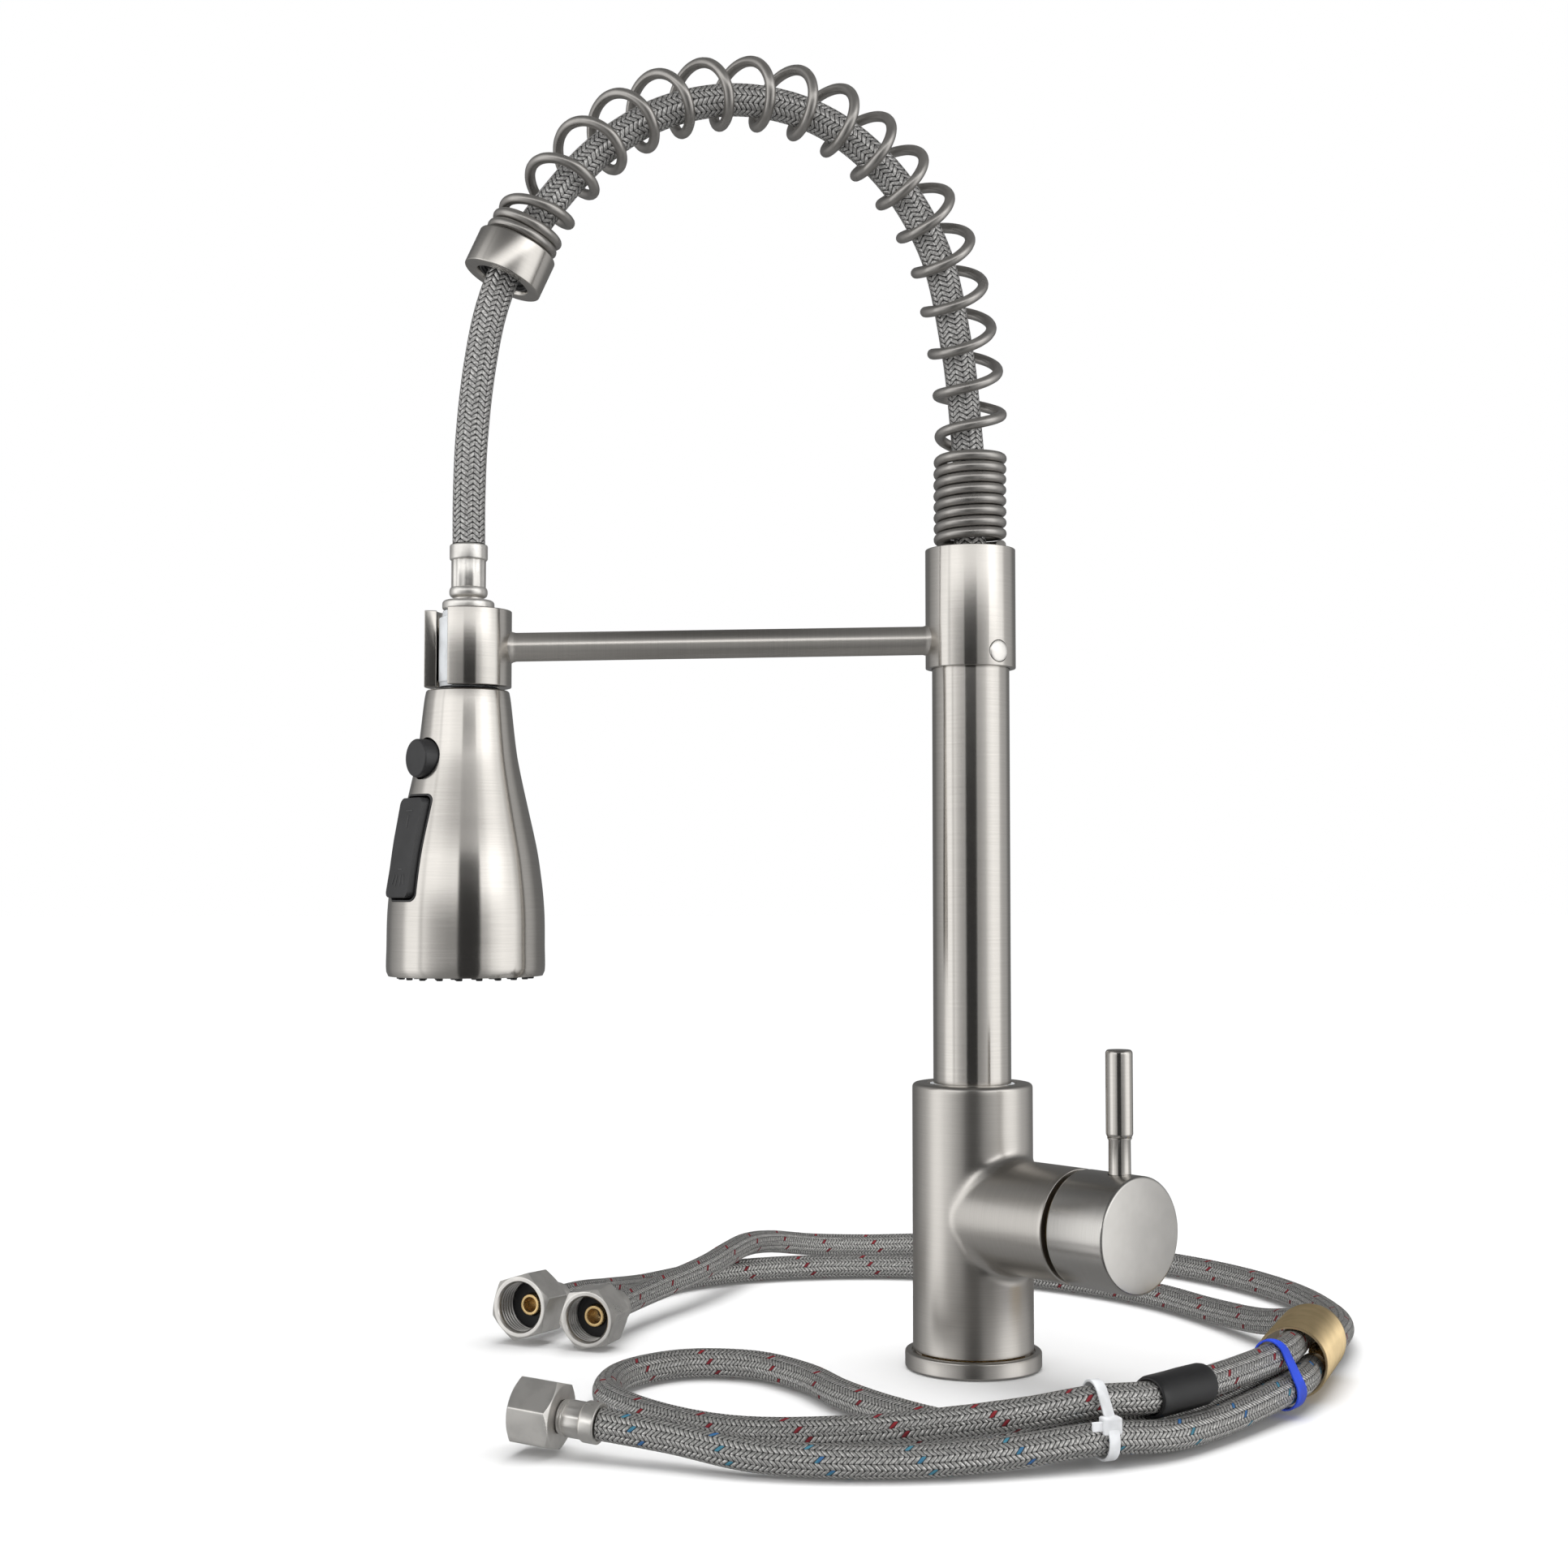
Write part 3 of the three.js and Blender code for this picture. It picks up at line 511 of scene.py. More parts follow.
class Graph:
    """One material's nodes."""

    def __init__(self, name: str) -> None:
        """Starts a material with a plain shader.

        Args:
            name: The material's name.
        """
        self.material = bpy.data.materials.new(name)
        self.material.use_nodes = True
        self.tree = self.material.node_tree
        self.shader = self.tree.nodes["Principled BSDF"]

    def add(
        self, kind: str, settings: dict[str, Any], inputs: dict[int | str, Any], output: int | str = 0
    ) -> Value:
        """Adds a node of any type.

        Args:
            kind: The node's type, without its first word.
            settings: Properties set first; "stops" is a ramp's list of (place, colour).
            inputs: Values or links for its sockets, by name or place.
            output: The socket that is given back.

        Returns:
            The chosen output.
        """
        node = self.tree.nodes.new("ShaderNode" + kind)
        for key, value in settings.items():
            if key == "stops":
                self._set_stops(node.color_ramp, value)
            else:
                setattr(node, key, value)
        for key, value in inputs.items():
            self.feed(node.inputs[key], value)
        return Value(self, node.outputs[output])

    @staticmethod
    def _set_stops(ramp: bpy.types.ColorRamp, stops: Sequence[tuple[float, Colour]]) -> None:
        """Sets a ramp's stops."""
        while len(ramp.elements) < len(stops):
            ramp.elements.new(0.5)
        for element, (place, colour) in zip(ramp.elements, stops):
            element.position = place
            element.color = (*colour, 1)

    def feed(self, socket: bpy.types.NodeSocket, value: Any) -> None:
        """Links or sets one socket."""
        if isinstance(value, Value):
            self.tree.links.new(value.socket, socket)
        elif isinstance(value, tuple) and len(value) == 3 and socket.type == "RGBA":
            socket.default_value = (*value, 1)
        else:
            socket.default_value = value

    def shade(self, **sockets: Any) -> bpy.types.Material:
        """Feeds the shader's own sockets, with _ for a space, and gives back the material."""
        for key, value in sockets.items():
            self.feed(self.shader.inputs[key.replace("_", " ")], value)
        return self.material

    def local(self, centre: Point = (0, 0, 0), turn: Euler | None = None) -> Value:
        """Millimetres from a centre, along turned axes.

        Args:
            centre: The centre, in millimetres.
            turn: How the axes are turned.

        Returns:
            The position.
        """
        place = self.add("TexCoord", {}, {}, "Object")
        inputs = {
            "Vector": place,
            "Location": tuple(c * MM for c in centre),
            "Rotation": tuple(turn or Euler()),
            "Scale": (MM, MM, MM),
        }
        return self.add("Mapping", {"vector_type": "TEXTURE"}, inputs)

    def stretched(self, position: Value, scale: Point) -> Value:
        """A position stretched by a scale on each axis."""
        return self.add("VectorMath", {"operation": "MULTIPLY"}, {0: position, 1: tuple(scale)})

    def noise(self, position: Value, scale: float, detail: float = 2.0, rough: float = 0.5) -> Value:
        """Smooth noise between nought and one.

        Args:
            position: Where it is read.
            scale: Lumps to a unit of position.
            detail: Finer layers laid over it.
            rough: Their share.

        Returns:
            The noise.
        """
        inputs = {"Vector": position, "Scale": scale, "Detail": detail, "Roughness": rough}
        return self.add("TexNoise", {}, inputs)

    def mix(self, share: Any, first: Any, second: Any) -> Value:
        """A colour between two, by a share."""
        return self.add("Mix", {"data_type": "RGBA"}, {0: share, 6: first, 7: second}, 2)

    def bump(self, height: Value, depth: float, strength: float = 1.0, over: Value | None = None) -> Value:
        """A bumped normal.

        Args:
            height: The height, between nought and one.
            depth: What one is worth, in millimetres.
            strength: How much of it shows.
            over: A normal that it is laid over.

        Returns:
            The normal.
        """
        inputs: dict[int | str, Any] = {"Height": height, "Distance": depth * MM, "Strength": strength}
        if over:
            inputs["Normal"] = over
        return self.add("Bump", {}, inputs)


# ---------------------------------------------------------------- finishes
@dataclass(frozen=True)
class BrushedMetal:
    """Satin metal, brushed in fine rings round its own +Z axis."""

    name: str
    tint: Colour = (0.60, 0.575, 0.54)
    roughness: float = 0.17
    grain: float = 1.0
    anisotropy: float = 0.8
    rotation: float = 0.25
    metallic: float = 1.0
    centre: tuple[float, float, float] = (0, 0, 0)
    turn: tuple[float, float, float] = (0, 0, 0)

    def made(self) -> bpy.types.Material:
        """Builds the material.

        Returns:
            The material, ready to be put on a piece.
        """
        g = Graph(self.name)
        place = g.local(self.centre, Euler(self.turn))
        cloud = g.noise(place, 0.035, 2)
        streak = self.streak(g, place)
        dark = tuple(c * 0.9 for c in self.tint)
        colour = g.mix(streak.step(0.3, 0.7), dark, self.tint)
        rough = self.roughness - 0.04 + streak * 0.06 + cloud * 0.04
        normal = g.bump(streak, 0.006 * self.grain, 0.5)
        return g.shade(
            Base_Color=colour, Metallic=self.metallic, Roughness=rough, Normal=normal,
            Anisotropic=self.anisotropy,
            Anisotropic_Rotation=self.rotation,
        )

    def streak(self, g: Graph, place: Value) -> Value:
        """The brush marks.

        Args:
            g: The material's nodes.
            place: The position along the brushed axes.

        Returns:
            Their height, between nought and one.
        """
        hair = g.noise(g.stretched(place, (0.06, 0.06, 7.0)), 1.0, 3, 0.65)
        band = g.noise(g.stretched(place, (0.04, 0.04, 2.2)), 1.0, 2)
        return hair * 0.75 + band * 0.25


@dataclass(frozen=True)
class HousingMetal(BrushedMetal):
    """Satin metal brushed round the upright body, and round the branch past the join."""

    join: float = 25.5
    branch_height: float = 58.9
    branch_turn: float = 0.0

    def streak(self, g: Graph, place: Value) -> Value:
        """The brush marks of both turnings, faded into each other at the join.

        Args:
            g: The material's nodes.
            place: Where the surface is, in the upright body's frame.

        Returns:
            The height of the marks.
        """
        upright = super().streak(g, place)
        turn = Euler((0, math.pi / 2, self.branch_turn))
        sideways = super().streak(g, g.local((0, 0, self.branch_height), turn))
        flat = g.stretched(place, (1, 1, 0))
        reach = g.add("VectorMath", {"operation": "LENGTH"}, {0: flat}, "Value")
        share = reach.step(self.join - 1.5, self.join + 3.5)
        return upright + (sideways - upright) * share


@dataclass(frozen=True)
class PolishedMetal:
    """Plated metal with a soft polish and faint handling marks."""

    name: str
    tint: Colour = (0.76, 0.74, 0.705)
    roughness: float = 0.3

    def made(self) -> bpy.types.Material:
        """Builds the material.

        Returns:
            The material, ready to be put on a piece.
        """
        g = Graph(self.name)
        place = g.local()
        cloud = g.noise(place, 0.15, 3)
        mark = g.noise(g.stretched(place, (1, 1, 2.5)), 1.2, 4, 0.6)
        colour = g.mix(cloud.step(0.35, 0.65), tuple(c * 0.88 for c in self.tint), self.tint)
        rough = self.roughness - 0.04 + mark.step(0.45, 0.75) * 0.12 + cloud * 0.04
        return g.shade(Base_Color=colour, Metallic=0.9, Roughness=rough, Normal=g.bump(mark, 0.01, 0.4))


class Tracer(Enum):
    """Coloured wires in a hose's braid, as (colour, second colour)."""

    NONE = ((0.5, 0.5, 0.5), (0.5, 0.5, 0.5))
    RED = ((0.23, 0.012, 0.018), (0.20, 0.012, 0.02))
    BLUE = ((0.03, 0.12, 0.30), (0.05, 0.20, 0.28))


@dataclass(frozen=True)
class WireBraid:
    """A woven wire sleeve: flat bundles of wires, slanting to and fro in rows along the hose."""

    name: str
    rows: int = 16
    pitch: float = 1.7
    slant: float = 1.1
    tint: Colour = (0.68, 0.67, 0.65)
    # gap: painted shade, the near-black colour laid on the low edges of each bundle and the spaces between
    # bundles
    gap: Colour = (0.035, 0.035, 0.036)
    tracer: Tracer = Tracer.NONE
    turn_bundles: int = 18
    wires: int = 5
    depth: float = 0.45

    def made(self) -> bpy.types.Material:
        """Builds the material.

        Returns:
            The material, ready to be put on a piece.
        """
        g = Graph(self.name)
        uv = g.add("UVMap", {"uv_map": "UVMap"}, {})
        along = g.add("SeparateXYZ", {}, {0: uv}, "X")
        around = g.add("SeparateXYZ", {}, {0: uv}, "Y")
        rows = around * self.rows
        row = rows.floor()
        across = rows - row
        odd = row % 2.0
        side = 1.0 - odd * 2.0
        travel = along / self.pitch + (across - 0.5) * side * self.slant
        bundle = travel.floor()
        inside = travel - bundle
        crown = inside.wave().raised(0.7) * across.wave().raised(0.28)
        wire_lines = (inside * float(self.wires)).part().wave()
        grime = g.noise(g.stretched(uv, (0.4, 40, 1)), 1.0, 3, 0.6)
        # Painted glint: noise lifts some wires to a brighter colour and drops others to a darker one,
        # standing in for highlights
        glint = g.noise(g.stretched(uv, (1.4, 30, 1)), 1.0, 1)
        shine = tuple(min(c * 1.25, 0.9) for c in self.tint)
        metal = g.mix(glint.step(0.35, 0.7), tuple(c * 0.6 for c in self.tint), shine)
        metal_rough = 0.36 + grime * 0.12
        metallic: Any = 0.88
        if self.tracer is not Tracer.NONE:
            first, second = self.tracer.value
            strand = (bundle + row * side * (-self.turn_bundles / self.rows)) % float(self.turn_bundles)
            dyed = (strand < 1.0) * (1.0 - odd)
            spot = g.noise(g.stretched(uv, (0.05, 3, 1)), 1.0, 1)
            metal = g.mix(dyed, metal, g.mix(spot.step(0.45, 0.55), first, second))
            metallic = 0.88 - dyed * 0.65
            metal_rough = metal_rough + dyed * 0.15
        # Painted shade: the colour falls to the near-black gap colour where the bundles' crowns drop away
        solid = crown.step(0.2, 0.58)
        colour = g.mix(solid, self.gap, metal)
        height = crown * 0.85 + wire_lines * crown * 0.15
        normal = g.bump(height, self.depth, 0.85)
        return g.shade(
            Base_Color=colour, Metallic=metallic, Roughness=0.62 - solid * (0.62 - metal_rough),
            Normal=normal
        )


@dataclass(frozen=True)
class Moulded:
    """Moulded plastic or rubber with a fine cast texture."""

    name: str
    tint: Colour
    roughness: float
    texture: float = 0.02
    coat: float = 0.0
    glow_through: float = 0.0

    def made(self) -> bpy.types.Material:
        """Builds the material.

        Returns:
            The material, ready to be put on a piece.
        """
        g = Graph(self.name)
        place = g.local()
        grain = g.noise(place, 2.2, 3, 0.6)
        cloud = g.noise(place, 0.12, 3)
        dull, clear = (tuple(c * share for c in self.tint) for share in (0.8, 1.1))
        colour = g.mix(cloud.step(0.3, 0.7), dull, clear)
        rough = self.roughness - 0.05 + grain * 0.06 + cloud * 0.06
        material = g.shade(
            Base_Color=colour, Roughness=rough, Normal=g.bump(grain, self.texture, 0.7),
            Coat_Weight=self.coat
        )
        g.shader.inputs["Subsurface Weight"].default_value = self.glow_through
        g.shader.inputs["Subsurface Radius"].default_value = (0.004, 0.004, 0.004)
        return material


# ---------------------------------------------------------------- pieces
class Piece:
    """Turns meshes into the object's pieces."""

    @staticmethod
    def add(
        name: str,
        shape: bmesh.types.BMesh | bpy.types.Mesh,
        material: bpy.types.Material,
        body: str | None,
        slot: str,
        stands_for: Sequence[str] = (),
        sharp: float = 38,
    ) -> bpy.types.Object:
        """Makes one piece.

        Args:
            name: The piece's name.
            shape: A mesh in metres, or a bmesh in millimetres, which is used up.
            material: Its finish.
            body: The body it rides on, or None, which leaves it on no body.
            slot: The record's material slot; not used.
            stands_for: CAD nodes that it replaces.
            sharp: Edges that turn by more than this many degrees stay sharp.

        Returns:
            The piece.
        """
        if isinstance(shape, bmesh.types.BMesh):
            bm, shape = shape, bpy.data.meshes.new(name)
            bmesh.ops.transform(bm, matrix=Matrix.Scale(MM, 4), verts=bm.verts)
            bm.to_mesh(shape)
            bm.free()
        shape.name = name
        shape.shade_smooth()
        shape.set_sharp_from_angle(angle=math.radians(sharp))
        shape.materials.clear()
        shape.materials.append(material)
        piece = bpy.data.objects.new(name, shape)
        bpy.context.scene.collection.objects.link(piece)
        if body:
            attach(piece, body)
        if stands_for:
            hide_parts(*stands_for)
        log.info("%s: %d faces, rides on %s", name, len(shape.polygons), body or "two bodies")
        return piece


def dress(node: str, material: bpy.types.Material) -> None:
    """Gives a CAD node's own object a finish.

    Args:
        node: The node's name.
        material: The finish.
    """
    shown = next(o for o in bpy.data.objects if o.get("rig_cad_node") == node)
    shown.data.materials.clear()
    shown.data.materials.append(material)


@dataclass(frozen=True)
class Finishes:
    """Every finish, made once."""

    steel: bpy.types.Material
    housing: bpy.types.Material
    branch_steel: bpy.types.Material
    arm_steel: bpy.types.Material
    cap_steel: bpy.types.Material
    head_steel: bpy.types.Material
    nickel: bpy.types.Material
    wire: bpy.types.Material
    brass: bpy.types.Material
    shank_brass: bpy.types.Material
    spray_braid: bpy.types.Material
    red_braid: bpy.types.Material
    blue_braid: bpy.types.Material
    black: bpy.types.Material
    grey: bpy.types.Material
    rubber: bpy.types.Material
    shrink: bpy.types.Material
    nylon: bpy.types.Material
    blue: bpy.types.Material
    mark: bpy.types.Material

    @classmethod
    def made(cls) -> "Finishes":
        """Builds every finish once.

        Returns:
            The finishes by name.
        """
        half = math.pi / 2
        branch_turn = math.radians(MixerBase.branch_angle)
        return cls(
            steel=BrushedMetal("satin_steel").made(),
            housing=HousingMetal(
                "satin_steel_housing", anisotropy=0.0, roughness=0.29,
                branch_height=MixerBase.branch_height,
                branch_turn=branch_turn,
            ).made(),
            # Painted shade: the handle cap's steel has a darker tint than the other steel parts
            branch_steel=BrushedMetal(
                "satin_steel_side", tint=(0.56, 0.545, 0.52), anisotropy=0.0, roughness=0.24,
                turn=(0, half, branch_turn), centre=(0, 0, MixerBase.branch_height),
            ).made(),
            arm_steel=BrushedMetal(
                "satin_steel_arm", anisotropy=0.9, rotation=0.0, turn=(0, half, 0),
                grain=2.0, roughness=0.36
            ).made(),
            cap_steel=BrushedMetal("satin_steel_cap", anisotropy=0.0, turn=(0, 0.45, 0)).made(),
            head_steel=BrushedMetal("satin_steel_head", centre=(-193, 0, 0)).made(),
            nickel=PolishedMetal("satin_nickel").made(),
            wire=PolishedMetal("spring_wire", tint=(0.40, 0.385, 0.365), roughness=0.3).made(),
            brass=PolishedMetal("turned_brass", tint=(0.78, 0.56, 0.27), roughness=0.28).made(),
            shank_brass=PolishedMetal("shank_brass", tint=(0.66, 0.51, 0.29), roughness=0.33).made(),
            spray_braid=WireBraid(
                "spray_braid", rows=14, pitch=2.1, slant=0.95, tint=(0.68, 0.67, 0.655), depth=0.6
            ).made(),
            red_braid=WireBraid("supply_braid_red", tracer=Tracer.RED).made(),
            blue_braid=WireBraid("supply_braid_blue", tracer=Tracer.BLUE).made(),
            black=Moulded("black_plastic", (0.022, 0.022, 0.023), 0.42).made(),
            grey=Moulded("pale_plastic", (0.66, 0.68, 0.70), 0.35, 0.006).made(),
            rubber=Moulded("seal_rubber", (0.012, 0.012, 0.013), 0.6).made(),
            shrink=Moulded("shrink_sleeve", (0.009, 0.009, 0.0095), 0.36, 0.03).made(),
            nylon=Moulded("milky_nylon", (0.66, 0.67, 0.685), 0.34, 0.008, glow_through=0.12).made(),
            blue=Moulded("blue_band", (0.012, 0.06, 0.62), 0.4, 0.02).made(),
            # Painted highlight: the marks are the rocker's black, given a lighter grey for the light on
            # their raised faces
            mark=Moulded("moulded_mark", (0.045, 0.045, 0.046), 0.4, 0.004).made(),
        )


@dataclass
class Fitting:
    """The union nut on a supply hose's end, with what it holds."""

    tag: str
    flats: float
    length: float
    bore: float
    turn: float
    route: Route
    reach: float = 14.2
    thread_pitch: float = 1.81
    thread_depth: float = 0.85

    def place(self) -> Matrix:
        """The frame whose +Z runs from the nut's mouth to the hose."""
        way = self.route.heading(0, 0.05)
        return aimed(self.route.at(0) - way * (self.length + self.reach), way)

    def nut(self) -> bmesh.types.BMesh:
        """A chamfered hexagon with an internal thread.

        Returns:
            The nut, in the fitting's frame.
        """
        corner = self.flats / math.sqrt(3)
        bm = bmesh.new()
        bmesh.ops.create_circle(bm, cap_ends=True, segments=6, radius=corner)
        drawn = bmesh.ops.extrude_face_region(bm, geom=bm.faces[:])
        tops = [v for v in drawn["geom"] if isinstance(v, bmesh.types.BMVert)]
        bmesh.ops.translate(bm, vec=(0, 0, self.length), verts=tops)
        bmesh.ops.recalc_face_normals(bm, faces=bm.faces)
        upright = [e for e in bm.edges if abs(e.verts[0].co.z - e.verts[1].co.z) > 1]
        bmesh.ops.bevel(
            bm, geom=upright, offset=0.5, offset_type="OFFSET", segments=3, profile=0.5,
            affect="EDGES", clamp_overlap=True, material=-1,
        )
        moved(bm, Matrix.Rotation(math.radians(self.turn), 4, "Z"))
        rim = self.flats / 2 - 0.35
        slope = (corner + 0.5 - rim) * 0.62
        outside = spun([
            (0, 0), (rim, 0, 0.3), (corner + 0.5, slope), (corner + 0.5, self.length - slope),
            (rim, self.length, 0.3), (0, self.length),
        ], 72)
        bm = combined(bm, outside, Cut.KEEP)
        deep = self.length - 3.3
        thread = [(0, -1), (self.bore + 0.75, -1), (self.bore + 0.7, 0, 0.2), (self.bore, 0.9)]
        height = 1.3
        while height + self.thread_pitch < deep - 1.2:
            root = self.bore + self.thread_depth
            thread += [
                (self.bore, height), (self.bore, height + 0.5), (root, height + 0.95),
                (root, height + 1.3),
            ]
            height += self.thread_pitch
        thread += [(self.bore, height), (self.bore, deep), (5.4, deep), (5.4, self.length + 1)]
        thread += [(0, self.length + 1)]
        return combined(bm, spun(thread, 64), Cut.REMOVE)

    def ferrule(self) -> bmesh.types.BMesh:
        """A stepped neck, a barrel crimped in flat panels and a plain band.

        Returns:
            The ferrule, in the fitting's frame.
        """
        end = self.length
        neck = spun([
            (4.5, end - 3), (4.9, end - 3), (4.9, end + 0.5), (5.6, end + 0.5, 0.25),
            (5.6, end + 1.3, 0.25),
            (5.2, end + 1.5), (5.8, end + 1.7, 0.25), (5.8, end + 2.5, 0.25), (4.5, end + 2.6),
        ], 48, closed=True)
        barrel = crimped(12, 5.95, 0.955, 6.6)
        moved(barrel, Matrix.Translation((0, 0, end + 2.4)))
        band = spun([
            (0, end + 8.2), (5.7, end + 8.2), (6.6, end + 8.9, 0.5), (6.6, end + 13.8, 0.35),
            (5.5, end + 13.8), (5.5, end + 13.0), (0, end + 13.0),
        ], 64)
        return merged((neck, barrel, band))

    def washer(self) -> bmesh.types.BMesh:
        """The flat rubber washer."""
        top = self.length - 3.6
        rim = self.bore - 0.3
        return spun(
            [(4.4, top - 2.1, 0.3), (rim, top - 2.1, 0.3), (rim, top), (4.4, top)], 64, closed=True
        )

    def insert(self) -> bmesh.types.BMesh:
        """The brass tube that the hose is crimped on."""
        start = self.length - 8.1
        return spun([
            (2.9, start, 0.3), (4.2, start, 0.35), (4.2, self.length + 2), (2.9, self.length + 2),
        ], 56, closed=True)

    def build(self, finishes: Finishes) -> list[bpy.types.Object]:
        """Makes the fitting's pieces.

        Args:
            finishes: What they are dressed in.

        Returns:
            Their objects.
        """
        place = self.place()
        rows = (
            ("union_nut", self.nut, finishes.nickel, f"nut_{self.tag}", "nickel", "supply_nut"),
            ("hose_crimp", self.ferrule, finishes.nickel, "base", "nickel", "hose_ferrule"),
            ("flat_washer", self.washer, finishes.rubber, "base", "rubber", "nut_washer"),
            ("brass_insert", self.insert, finishes.brass, "base", "brass", "hose_insert"),
        )
        return [
            Piece.add(
                f"{name}_{self.tag}", moved(make(), place), look, body, slot, [f"{node}_{self.tag}"]
            )
            for name, make, look, body, slot, node in rows
        ]


@dataclass
class SupplyLines:
    """The three supply hoses on the worktop, the threaded shank and what ties them."""

    finishes: Finishes
    radius: float = 5.2
    spacing: float = 2.4
    shank_radius: float = 13.0
    shank_bore: float = 12.0
    shank_length: float = 47.1
    shank_mouth: tuple[float, float] = (104.2, -62.4)
    shank_way: tuple[float, float, float] = (0.4455, 0.8953, 0)
    first: Sequence[Point] = (
        (-160, 75, 13.4), (-151, 91, 12.4), (-139.5, 113, 9.4), (-125, 140, 6), (-102, 166, 5.4),
        (-70, 182, 5.4), (-35, 187, 5.4), (2, 183, 5.4), (38, 167, 5.4), (71, 140, 5.4), (97, 106, 5.4),
        (112, 68, 5.8), (122, 30, 9), (128.6, -4, 16), (125.2, -20.2, 19.15), (114.7, -41.3, 19.15),
        (104.2, -62.4, 19.15), (97, -74.8, 19), (86, -86.5, 18.6), (71.5, -101, 18.3),
        (55.5, -115.9, 18.2),
        (37.8, -130.2, 18.1), (17.5, -136.4, 18.5), (-4, -139, 15.8), (-30, -138.5, 12.8),
        (-63, -131, 8.8),
        (-96, -117, 6), (-122, -93, 5.4), (-138, -62, 5.4), (-133, -31, 5.4), (-111, -13, 5.4),
        (-85, -17, 5.4), (-67, -39, 5.4), (-56, -67, 5.4), (-42, -92, 5.4), (-24, -114, 5.5),
        (-3, -129, 6.9), (17, -132.6, 8.7), (35, -125.5, 7), (52, -111.5, 6.4), (68.5, -96, 7.2),
        (84.3, -80.2, 8.6), (93.3, -70.5, 9.5), (99.4, -60, 9.8), (102.6, -53.6, 9.8),
    )
    second: Sequence[Point] = (
        (-136, 62, 12.5), (-128.5, 79, 12.6), (-118, 99, 13.1), (-107, 117, 14), (-96, 137, 15.3),
        (-87, 158, 16.6), (-77, 182, 16.8), (-64, 206, 14), (-43, 228, 8.8), (-14, 243, 5.6),
        (18, 245, 5.4),
        (55, 234, 5.4), (92, 211, 5.4), (123, 180, 5.4), (145, 142, 5.4), (157, 101, 5.4), (158, 60, 5.8),
        (149, 18, 8.2), (130, -22.6, 9.8), (126.8, -29, 9.8),
    )
    third: Sequence[Point] = (
        (-139.5, -123.5, 10.9), (-117, -134, 9), (-93, -146, 6.2), (-68, -152, 5.4), (-40, -153.5, 5.4),
        (-14, -151, 6.6), (16, -144.3, 8.7), (40.5, -135, 7), (59, -120.2, 6.4), (76, -104, 7.2),
        (92, -87.7, 8.6), (102.5, -76.3, 9.5), (109, -64.8, 9.8), (112.2, -58.4, 9.8),
    )

    def hose(
        self, tag: str, route: Route, look: bpy.types.Material, fitting: Fitting,
        on_it: Sequence[bpy.types.Object],
    ) -> None:
        """Lays one hose from its fitting to its tail.

        Args:
            tag: The hose's letter.
            route: Its centreline.
            look: Its braid.
            fitting: The nut's end.
            on_it: Other pieces on the hose.
        """
        points = route.evenly(self.spacing)
        braid = Piece.add(
            f"braided_hose_{tag}", piped(points, self.radius, 32), look, "base", "braid",
            [f"supply_hose_{tag}"], sharp=60,
        )
        held = [*fitting.build(self.finishes), self.tail(tag, route), *on_it]
        points[-1] * MM
        [p * MM for p in points]

    def tail(self, tag: str, route: Route) -> bpy.types.Object:
        """The crimped end with the plain brass spigot that screws into the faucet.

        Args:
            tag: The hose's letter.
            route: The hose's centreline.

        Returns:
            The end's object.
        """
        way = route.heading(route.length, 0.05)
        bm = spun([
            (0, 0.3), (4.8, 0.3, 0.3), (4.8, 5.5, 0.3), (4.1, 5.8), (4.1, 9, 0.3), (3.2, 9.3),
            (3.4, 9.8, 0.2), (3.4, 10.6, 0.2), (3.0, 10.8), (3.4, 11.3, 0.2), (3.4, 12.6, 0.3), (0, 12.8),
        ], 40)
        place = aimed(route.at(route.length), way)
        return Piece.add(
            f"hose_spigot_{tag}", moved(bm, place),
            self.finishes.brass, "base", "brass", [f"hose_tail_{tag}"]
        )

    def shank(self) -> bpy.types.Object:
        """The threaded shank: fine outside thread, plain turned rims.

        Returns:
            The shank's object.
        """
        pitch = 1.05
        outer = self.shank_radius
        outline: list[Corner] = [(outer - 0.4, 0.0), (outer - 0.4, 1.3)]
        height = 1.5
        while height + pitch < self.shank_length - 1.6:
            outline += [(outer - 0.42, height), (outer, height + pitch / 2)]
            height += pitch
        outline += [
            (outer - 0.4, self.shank_length - 1.4), (outer - 0.4, self.shank_length),
            (self.shank_bore, self.shank_length), (self.shank_bore, 0.0),
        ]
        bm = spun(outline, 96, closed=True)
        place = aimed((*self.shank_mouth, self.shank_radius + 0.05), self.shank_way)
        return Piece.add(
            "threaded_shank", moved(bm, place),
            self.finishes.shank_brass, "base", "brass", ["brass_shank"],
            sharp=30,
        )

    def sleeve(self) -> bpy.types.Object:
        """The black shrunk sleeve, a little swollen over the braid.

        Returns:
            The sleeve's object.
        """
        start, end = Vector((36, -131.4, 18.1)), Vector((58.5, -113.2, 18.2))
        reach = (end - start).length
        bm = spun([
            (5.6, 0, 0.2), (6.5, 0, 0.5), (6.95, 1.6), (6.9, reach * 0.4), (7.0, reach * 0.6),
            (6.9, reach - 1.6), (6.6, reach, 0.5), (5.6, reach, 0.2),
        ], 64, closed=True, longest=2.5)
        return Piece.add(
            "black_sleeve", moved(bm, aimed(start, end - start)), self.finishes.shrink, "base", "rubber",
            ["rubber_sleeve"],
        )

